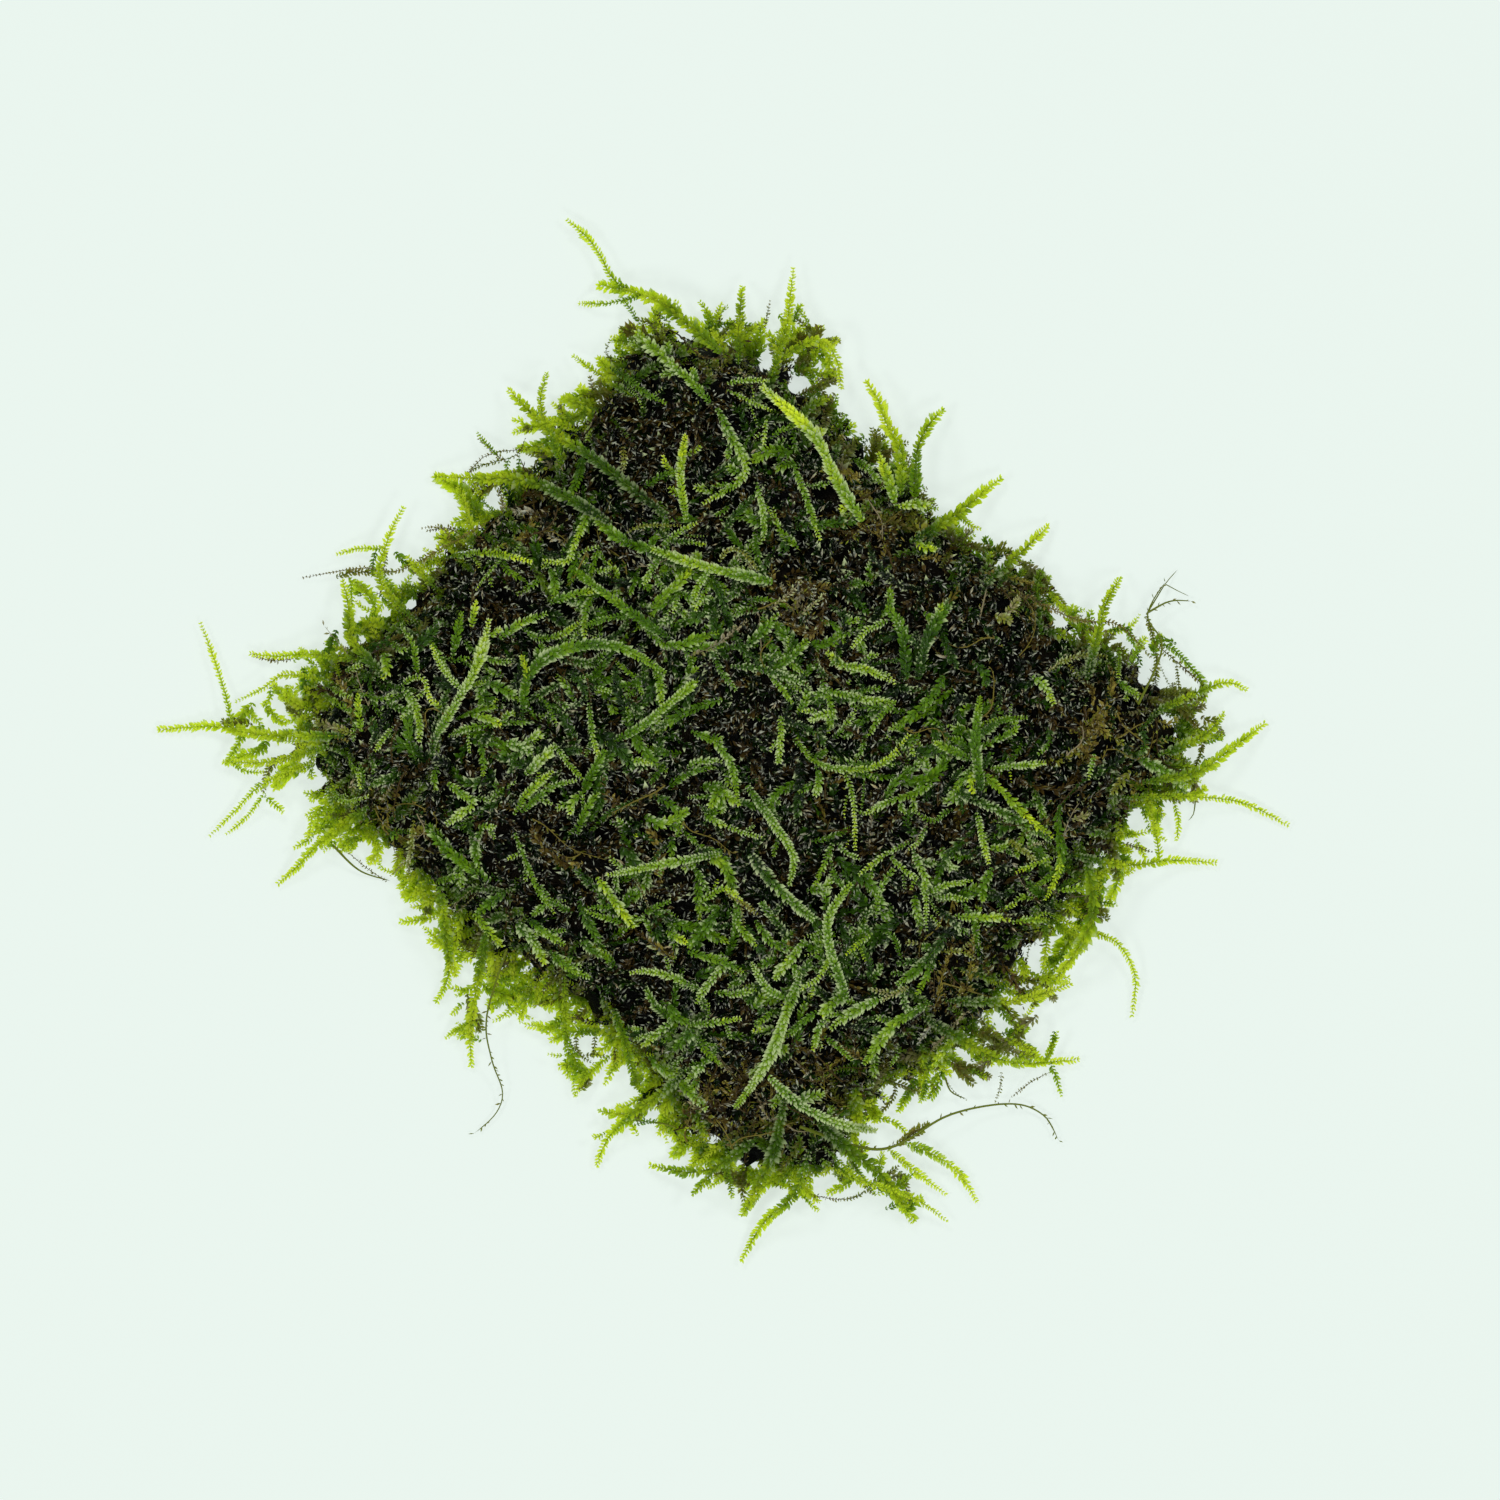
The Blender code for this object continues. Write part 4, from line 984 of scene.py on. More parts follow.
# %% Routes of the brown stems and the runners
BROWN_STEMS = [
    (0.9, [(-30, 27.6), (-36.4, 23.9), (-41.5, 21.4), (-46, 21.8), (-53.3, 20.6)],
     (0.7, [(-34.6, 24.9), (-35.6, 26.9), (-38.2, 26.9)])),
    (1.0, [(37.5, 18.6), (44.5, 15.3), (50, 14.6), (54, 10.6)]),
]
RUNNERS = [
    (0.7, [(52.5, 4.5), (55.6, 11.6), (53.8, 15.2), (54.3, 17.4), (56, 20)],
     (0.6, [(53.9, 16.2), (56.6, 17.6), (59.3, 17.6)])),
    (0.9, [(9.6, -49), (17.5, -51.7), (22, -51.4), (28.6, -47.6), (36.3, -46.2), (40.5, -47.6),
           (42.5, -50.9)],
     (1.3, [(23, -51), (27.6, -53.2), (30.2, -55.5), (32, -58.5)]),
     (1.0, [(20.6, -51.7), (24, -54.6), (28, -57.6)])),
    (0.6, [(-27.5, -26.5), (-30.1, -35.1), (-29.5, -40.5), (-28.1, -44.7), (-29, -47.5), (-31.7, -50)]),
]

# %% Lay a route in its solid


def solid_tree(node):
    """A solid of the model, ready for rays."""
    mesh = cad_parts[node].data
    return BVHTree.FromPolygons([v.co for v in mesh.vertices], [list(p.vertices) for p in mesh.polygons])


def middle_heights(tree, route):
    """The height of the middle of a solid along a flat route."""
    heights = []
    for x, y in route:
        top = tree.ray_cast(Vector((x * MM, y * MM, ABOVE_ALL * MM)), DOWN)[0]
        bottom = tree.ray_cast(Vector((x * MM, y * MM, -ABOVE_ALL * MM)), -DOWN)[0]
        heights.append((top.z + bottom.z) / 2 / MM if top and bottom else np.nan)
    heights = np.array(heights)
    known = ~np.isnan(heights)
    steps = np.arange(len(heights))
    return np.interp(steps, steps[known], heights[known])


def line_in_solid(node, points):
    """A route through a few points, at the height of the solid's middle."""
    route = route_through(points)
    return np.column_stack([route, middle_heights(solid_tree(node), route)])


# %% Dress the shoots round the rim
NARROWEST = 1.05
RIM_SHARE = 0.95  # a shoot's width, of its row's
GREENER = (10, 15, 16, 28, 32, 34)
GREENER_BY = 0.05
RIM_JITTER = (-0.04, 0.03)

for number, (width, route, *branches) in enumerate(RIM_SHOOTS, 1):
    node = f"rim_shoot_{number:02d}"
    growth = Growth()
    tone = TONES["bright"] + chance.uniform(*RIM_JITTER) - GREENER_BY * (number in GREENER)
    for line_width, points in [(width, route), *branches]:
        line = line_in_solid(node, points)
        lit_shoot(growth, line, max(line_width, NARROWEST) * RIM_SHARE, tone, leaf=FINE_LEAF)
    finish_piece(f"leafy_{node}", growth, NEW_LEAVES, "bright_shoot", node)

# %% Dress the shoots on top
TOP_SHARE = 0.85  # a shoot's width, of its row's
# The tone of each, and how much painted frost glint it has
TOP_TONES = [
    (0.81, 0.9), (0.71, 0.5), (0.74, 0.7), (0.69, 0.2), (0.78, 0.7), (0.83, 0.7), (0.84, 0.7), (0.73, 0.7),
    (0.76, 1.0), (0.61, 0.3), (0.69, 0.3), (0.73, 0.8), (0.76, 1.0), (0.76, 0.9),
]

for number, ((width, route, *branches), (tone, frost_glint)) in enumerate(zip(TOP_SHOOTS, TOP_TONES), 1):
    node = f"top_shoot_{number:02d}"
    growth = Growth()
    for line_width, points in [(width, route), *branches]:
        line = line_in_solid(node, points)
        leafy_shoot(growth, line, line_width * TOP_SHARE, tone, frost_glint, leaf=FINE_LEAF, mess=0.7)
    finish_piece(f"leafy_{node}", growth, GREEN_LEAVES, "green_shoot", node)

# %% Dress the brown stems and the runners
DRESSED_WIDTH = 1.0  # a runner's branch this wide has leaves

for kind, rows in (("brown_stem", BROWN_STEMS), ("runner", RUNNERS)):
    for number, (width, route, *branches) in enumerate(rows, 1):
        node = f"{kind}_{number:02d}"
        growth = Growth()
        for line_width, points in [(width, route), *branches]:
            line = line_in_solid(node, points)
            if kind == "brown_stem":
                leafy_shoot(growth, line, line_width * 0.9, TONES["gold"], OLD_FROST_GLINT, mess=1.8, taper=0.6)
            elif line_width >= DRESSED_WIDTH:
                lit_shoot(growth, line, line_width, TONES["bright"], leaf=FINE_LEAF, taper=0.5)
            else:
                bare_stem(growth, line, line_width * 0.5, TONES["olive"], scraps=0.8)
        finish_piece(f"dressed_{node}", growth, BARE_STEMS, "brown_stem", node)
print(len(made), "pieces with", sum(made.values()), "faces so far")

# %% [markdown]
# ## Where the pad is dark, brown and lush
# The pad isn't even: green shoots are thick in some places and missing in others, where the wet black
# tangle or a patch of dead brown growth shows. Each patch is a centre and a radius, and fades out towards
# its edge.

# %% Patches of the pad
DARK_PATCHES = [
    (27, 20, 7), (38, 14, 6), (41, 6, 6), (48, 2, 5), (-9, 38, 7), (-3, 44, 5), (29, 9, 4), (-30, 14, 4),
    (-20, -15, 7), (0, 3, 5), (-16, -33, 5), (-11, -29, 4), (8, -15, 4), (15, 35, 4), (52, -3, 4),
    (20, -12, 4), (42, -4, 4),
]
BROWN_PATCHES = [
    (17, 29, 4.5), (21.5, 25.5, 3), (38, 19, 4), (-49, 8, 4), (0, 49, 4), (-24, 28, 4), (12, -46, 4),
    (0, -46, 5), (-27, -29, 4), (9, 18, 3.5), (43, -9, 3), (-20, -13, 1.5), (15, -6, 3), (30, -30, 4),
    (-41, -12, 4), (55, -1, 3), (46.5, 0.8, 3), (5.4, -47.4, 4), (12.5, -41, 3), (-4.8, -49.2, 3),
    (-26.8, -28.7, 2.5),
]
LUSH_PATCHES = [
    (-10, 20, 6), (-15, 10, 6), (-28, 8, 5), (28, 5, 4), (32, -2, 5), (5, -28, 6), (14, -26, 5),
    (-12, -20, 6), (0, 12, 5), (22, -2, 6), (-5, -38, 5), (40, -12, 6), (10, 5, 6), (30, -20, 5),
    (-20, 0, 6), (5, 17, 5), (-43, 4, 5), (-42, -5, 5), (-31, -16, 5), (-18, -27, 5), (5, 38, 5),
    (5, 28, 4), (21, 16, 4),
]


def nearness(patches, x, y):
    """How deep a place lies in any of the patches, from 0 to 1."""
    return max(math.exp(-((x - cx) ** 2 + (y - cy) ** 2) / radius**2) for cx, cy, radius in patches)


# %% [markdown]
# ## Small shoots over the felt
# The rest of the growth is scattered. Places are the points of an even grid, each moved a little, so that
# the cover has no bald spots. A small shoot wanders off in some direction, follows the felt's rise and fall
# at its own height, and sinks to the floor where it leaves the felt. Bends are two numbers: how much a route
# turns in all, and how much it sways to and fro.

# %% Scatter places and wandering lines
ROUTE_POINTS = 9
ROUTE_SHARES = np.linspace(0, 1, ROUTE_POINTS)
ROUTE_TRIES = 6
SHORTEST_TRY = 0.35  # of the length at first
FALL = 0.5  # how steeply a shoot sinks outside the felt
START_HEIGHT = 2.0  # of a shoot that starts outside the felt
EASING = (0.25, 0.5, 0.25)
pad_low, pad_high = np.array(solid_box)[:, :2] / MM


def felt_under(x, y):
    """The felt's height and slope under a place, or nothing outside it."""
    spot, slope = felt_tree.ray_cast(Vector((x * MM, y * MM, ABOVE_ALL * MM)), DOWN)[:2]
    return (None, None) if spot is None else (spot.z / MM, np.array(slope))


def moved_grid(low, high, spacing):
    """The places of an even grid between two corners, each moved a little."""
    columns = np.arange(low[0], high[0], spacing)
    rows = np.arange(low[1], high[1], spacing)
    places = np.stack(np.meshgrid(columns, rows), axis=2).reshape(-1, 2)
    return places + chance.uniform(-0.5, 0.5, places.shape) * spacing


def scattered(spacing):
    """Places all over the felt, about this far apart."""
    return [place for place in moved_grid(pad_low, pad_high, spacing) if felt_under(*place)[0]]


def bent_steps(heading, bend, wave=0):
    """The steps of a route, each one unit long, that turns by the bend and sways by the wave."""
    ways = heading + bend * ROUTE_SHARES + wave * np.sin(ROUTE_SHARES * 2 * math.pi)
    return np.stack([np.cos(ways), np.sin(ways)], axis=1)


def wander(place, lengths, bends, share=1, heading=None):
    """A flat route of random length and bends with its middle at a place, in any direction or a given one."""
    if heading is None:
        heading = chance.uniform(0, 2 * math.pi)
    length = chance.uniform(*lengths) * share
    steps = bent_steps(heading, *(chance.normal(size=2) * bends))[:-1] * length / (ROUTE_POINTS - 1)
    route = np.vstack([[0, 0], np.cumsum(steps, axis=0)])
    return route - route[ROUTE_POINTS // 2] + place


def clear_route(make_route):
    """The first of ever shorter routes that stays on the pad and off its holes."""
    for share in np.linspace(1, SHORTEST_TRY, ROUTE_TRIES):
        route = make_route(share)
        if not crosses_hole(route) and not strays(route):
            return route
    return None


def over_the_felt(route, above):
    """The route with heights: this much above the felt, and sinking towards the floor outside it."""
    heights = []
    step = np.linalg.norm(route[1] - route[0])
    for (x, y), rise in zip(route, above):
        ground = felt_under(x, y)[0]
        if ground is None:
            ground = (heights[-1] - rise if heights else START_HEIGHT) - FALL * step
        heights.append(max(ground + rise, FLOOR_GAP))
    eased = np.convolve(np.pad(heights, 1, mode="edge"), EASING, mode="valid")
    return np.column_stack([route, eased])


# %% [markdown]
# ## The dark tangle
# Next to the felt lie old shoots, black with wet, pointing and leaning every way. A few of their leaves are
# silver or tan, partly bleached and partly painted glints, which gives the tangle its fine grey sparkle.

# %% The dark tangle
TANGLE_SPACING = 2.35
TANGLE_TONES = ("black", "dark", "brown")
TANGLE_SHARES = (0.72, 0.24, 0.04)
TANGLE_LENGTHS = (5, 11)
TANGLE_WIDTHS = (1.1, 1.7)
TANGLE_BENDS = (0.9, 0.4)
TANGLE_LIFTS = (0.1, 1.3)
TANGLE_SWAY = 0.35  # how much higher or lower either half of a shoot lies
TANGLE_ROLL = 0.7
BLEACHED_AND_GLINT_SHARE = 0.10
BROWN_CHANCE = 0.7  # in the middle of a brown patch
BROWN_TONES = ("gold", "brown", "tan")
BROWN_SHARES = (0.42, 0.38, 0.2)
EDGE_LENGTHS = (2.5, 5)
EDGE_STEP = 1.7
EDGE_BAND = 3.0  # how far from the felt's edge, or from a hole, the tangle is thicker
LIT_SHARE = 0.75  # how many of the old shoots give way to new ones where light comes through
LIT_WIDTHS = (0.9, 1.6)
HALVES = (5, 4)  # how many points of a route lie at its first and at its second height


def tangle(name, places, lengths):
    """A layer of old shoots, some of which give way to new ones at the rim."""
    growth = Growth()
    for place in places:
        brown = nearness(BROWN_PATCHES, *place)
        tone = drawn_tone(TANGLE_TONES, TANGLE_SHARES)
        if chance.random() < brown * BROWN_CHANCE:
            tone = drawn_tone(BROWN_TONES, BROWN_SHARES)
        route = clear_route(lambda share: wander(place, lengths, np.multiply(TANGLE_BENDS, share), share))
        above = chance.uniform(*TANGLE_LIFTS) + np.repeat(chance.normal(size=2), HALVES) * TANGLE_SWAY
        if route is None:
            continue
        light = rim_light(route).max()
        if chance.random() < light * LIT_SHARE:
            line = over_the_felt(route, above)
            lit_shoot(rim_growth, line, chance.uniform(*LIT_WIDTHS), rim_tone(place), mess=1.4)
            continue
        _, slope = felt_under(*place)
        leafy_shoot(
            growth, over_the_felt(route, above), chance.uniform(*TANGLE_WIDTHS), tone, 0.0,
            up=slope, roll=chance.normal() * TANGLE_ROLL, mess=1.8, bleached_and_glints=BLEACHED_AND_GLINT_SHARE,
        )
    finish_piece(name, growth, OLD_LEAVES, "matted_growth")


rim_growth = Growth()
tangle_places = scattered(TANGLE_SPACING)
half = len(tangle_places) // 2
tangle("dark_tangle_lower", tangle_places[:half], TANGLE_LENGTHS)
tangle("dark_tangle_upper", tangle_places[half:], TANGLE_LENGTHS)


def at_the_edge(place):
    """Whether a place lies near the felt's edge or a hole."""
    nearest, inside = rim_nearest(place)
    to_holes = np.linalg.norm(holes[:, :2] - place, axis=1) - holes[:, 2]
    return inside[0] < felt_edges[rim_sides[nearest[0]]] + EDGE_BAND or to_holes.min() < EDGE_BAND


edge_places = [place for place in scattered(EDGE_STEP) if at_the_edge(place)]
tangle("dark_tangle_edge", edge_places, EDGE_LENGTHS)
print(len(tangle_places), "old shoots and", len(edge_places), "short ones at the edge")

# %% [markdown]
# ## Pale scraps and painted glints
# The fine grey sparkle of the tangle comes from specks no wider than a hair: partly bleached leaves and bits
# of stem, partly painted glints of wet leaves. They lie combed: neighbours point nearly the same way, and the
# way changes slowly over the pad.

# %% Pale scraps and painted glints
GLINT_SCRAP_TRIES = 56000  # about one in six becomes a scrap
GLINT_SCRAP_HEIGHTS = (0.7, 2.3)
GLINT_SCRAP_LENGTHS = (0.3, 0.9)
GLINT_SCRAP_BREADTH = (0.10, 0.24)
GLINT_SCRAP_TURN = 0.6  # how far a scrap strays from the way it is combed
GLINT_SCRAP_TILT = 0.25
GLINT_SCRAP_TWIST = 0.5
SILVER_REACH = 0.07  # how far the grey painted glints run towards silver on the map
BROWN_SHARE = 0.8
COMB_SPACING = 4.0
CLUMP_SPACING = 1.6
CLUMP_RANGE = (-0.4, 0.5)

spots = chance.uniform(pad_low, pad_high, (GLINT_SCRAP_TRIES, 2))
grounds = [felt_under(*spot)[0] for spot in spots]
spots = np.array([
    (x, y, ground) for (x, y), ground in zip(spots, grounds)
    if ground and noise.noise(Vector((x, y, 0)) / CLUMP_SPACING) > chance.uniform(*CLUMP_RANGE)
])
count = len(spots)
spots[:, 2] += chance.uniform(*GLINT_SCRAP_HEIGHTS, count)
combed = np.array([noise.noise(Vector((x, y, 0)) / COMB_SPACING) for x, y, _ in spots])
turns = combed * 2 * math.pi + chance.normal(size=count) * GLINT_SCRAP_TURN
tilts = chance.normal(size=count) * GLINT_SCRAP_TILT
ways = np.column_stack([np.cos(turns) * np.cos(tilts), np.sin(turns) * np.cos(tilts), np.sin(tilts)])
browning = np.maximum([nearness(BROWN_PATCHES, x, y) for x, y, _ in spots], rim_light(spots))
browned = browning * BROWN_SHARE > chance.random(count)
brown_tones = chance.uniform(TONES["tan"], TONES["brown"], count)
grey_tones = TONES["grey"] + SILVER_REACH * chance.random(count) ** 2
tones = np.where(browned, brown_tones, grey_tones)
scraps = Growth()
lay_leaves(
    scraps, SMALL_LEAF, spots, ways, np.broadcast_to(UP, ways.shape), chance.uniform(*GLINT_SCRAP_LENGTHS, count),
    chance.uniform(*GLINT_SCRAP_BREADTH, count), chance.normal(size=count) * GLINT_SCRAP_TWIST, tones, np.zeros(count),
)
finish_piece("pale_scraps_and_glints", scraps, OLD_LEAVES, "matted_growth")
print(count, "pale scraps with", made["pale_scraps_and_glints"], "faces")

# %% [markdown]
# ## The green cover
# Green shoots lie over the tangle in two layers: deep green ones, and above them paler ones whose leaf tips
# carry a painted frost glint. They are thick in the lush patches and thin in the dark and brown ones.

# %% The green cover
COVER_CLUMPS = 5.0  # the spacing of thicker and thinner places
CLUMP_GAIN = 0.5
LUSH_GAIN = 0.5
DARK_LOSS = 0.8
COVER_JITTER = 0.03
COVER_BENDS = (0.7, 0.25)
COVER_ROLL = 0.35
COVER_ARCH = 0.45 + 0.55 * np.sin(np.linspace(0.15, math.pi * 0.95, ROUTE_POINTS))


def cover(name, spacing, tones, lengths, widths, lift, frost_glint, fill):
    """A layer of green shoots. The fill is the share of places that get one, outside the patches."""
    growth = Growth()
    count = 0
    for place in scattered(spacing):
        lush = nearness(LUSH_PATCHES, *place)
        dark = max(nearness(DARK_PATCHES, *place), nearness(BROWN_PATCHES, *place))
        clump = noise.noise(Vector((*place, 0)) / COVER_CLUMPS)
        if chance.random() > fill + lush * LUSH_GAIN - dark * DARK_LOSS + clump * CLUMP_GAIN:
            continue
        tone = drawn_tone(tones) + chance.uniform(-COVER_JITTER, COVER_JITTER)
        route = clear_route(lambda share: wander(place, lengths, COVER_BENDS, share))
        if route is None:
            continue
        above = chance.uniform(*lift) * COVER_ARCH
        if chance.random() < rim_light(route).max():
            lit_shoot(rim_growth, over_the_felt(route, above), chance.uniform(*widths), rim_tone(place))
            continue
        _, slope = felt_under(*place)
        leafy_shoot(
            growth, over_the_felt(route, above), chance.uniform(*widths), tone, frost_glint,
            up=slope, roll=chance.normal() * COVER_ROLL,
        )
        count += 1
    finish_piece(name, growth, GREEN_LEAVES, "green_shoot")
    print(name, "has", count, "shoots with", made[name], "faces")


cover(
    "deep_green_cover", spacing=3.1, tones=("dark", "deep", "deep", "green"), lengths=(4, 11),
    widths=(1.0, 2.0), lift=(1.2, 2.2), frost_glint=0.25, fill=0.35,
)
cover(
    "frost_glint_cover", spacing=2.5, tones=("deep", "green", "green"), lengths=(2.2, 7.0),
    widths=(0.9, 1.5), lift=(1.4, 2.5), frost_glint=0.68, fill=0.20,
)

# %% [markdown]
# ## Single shoots, one by one
# Some more small shoots can be told apart. They are listed one by one too. A row at the rim is a tone, a
# width and a route, and a row on top has how much painted frost glint the shoot has after its tone. Those at
# the rim lie low and reach out over the floor, the others lie over the cover and have short side shoots.

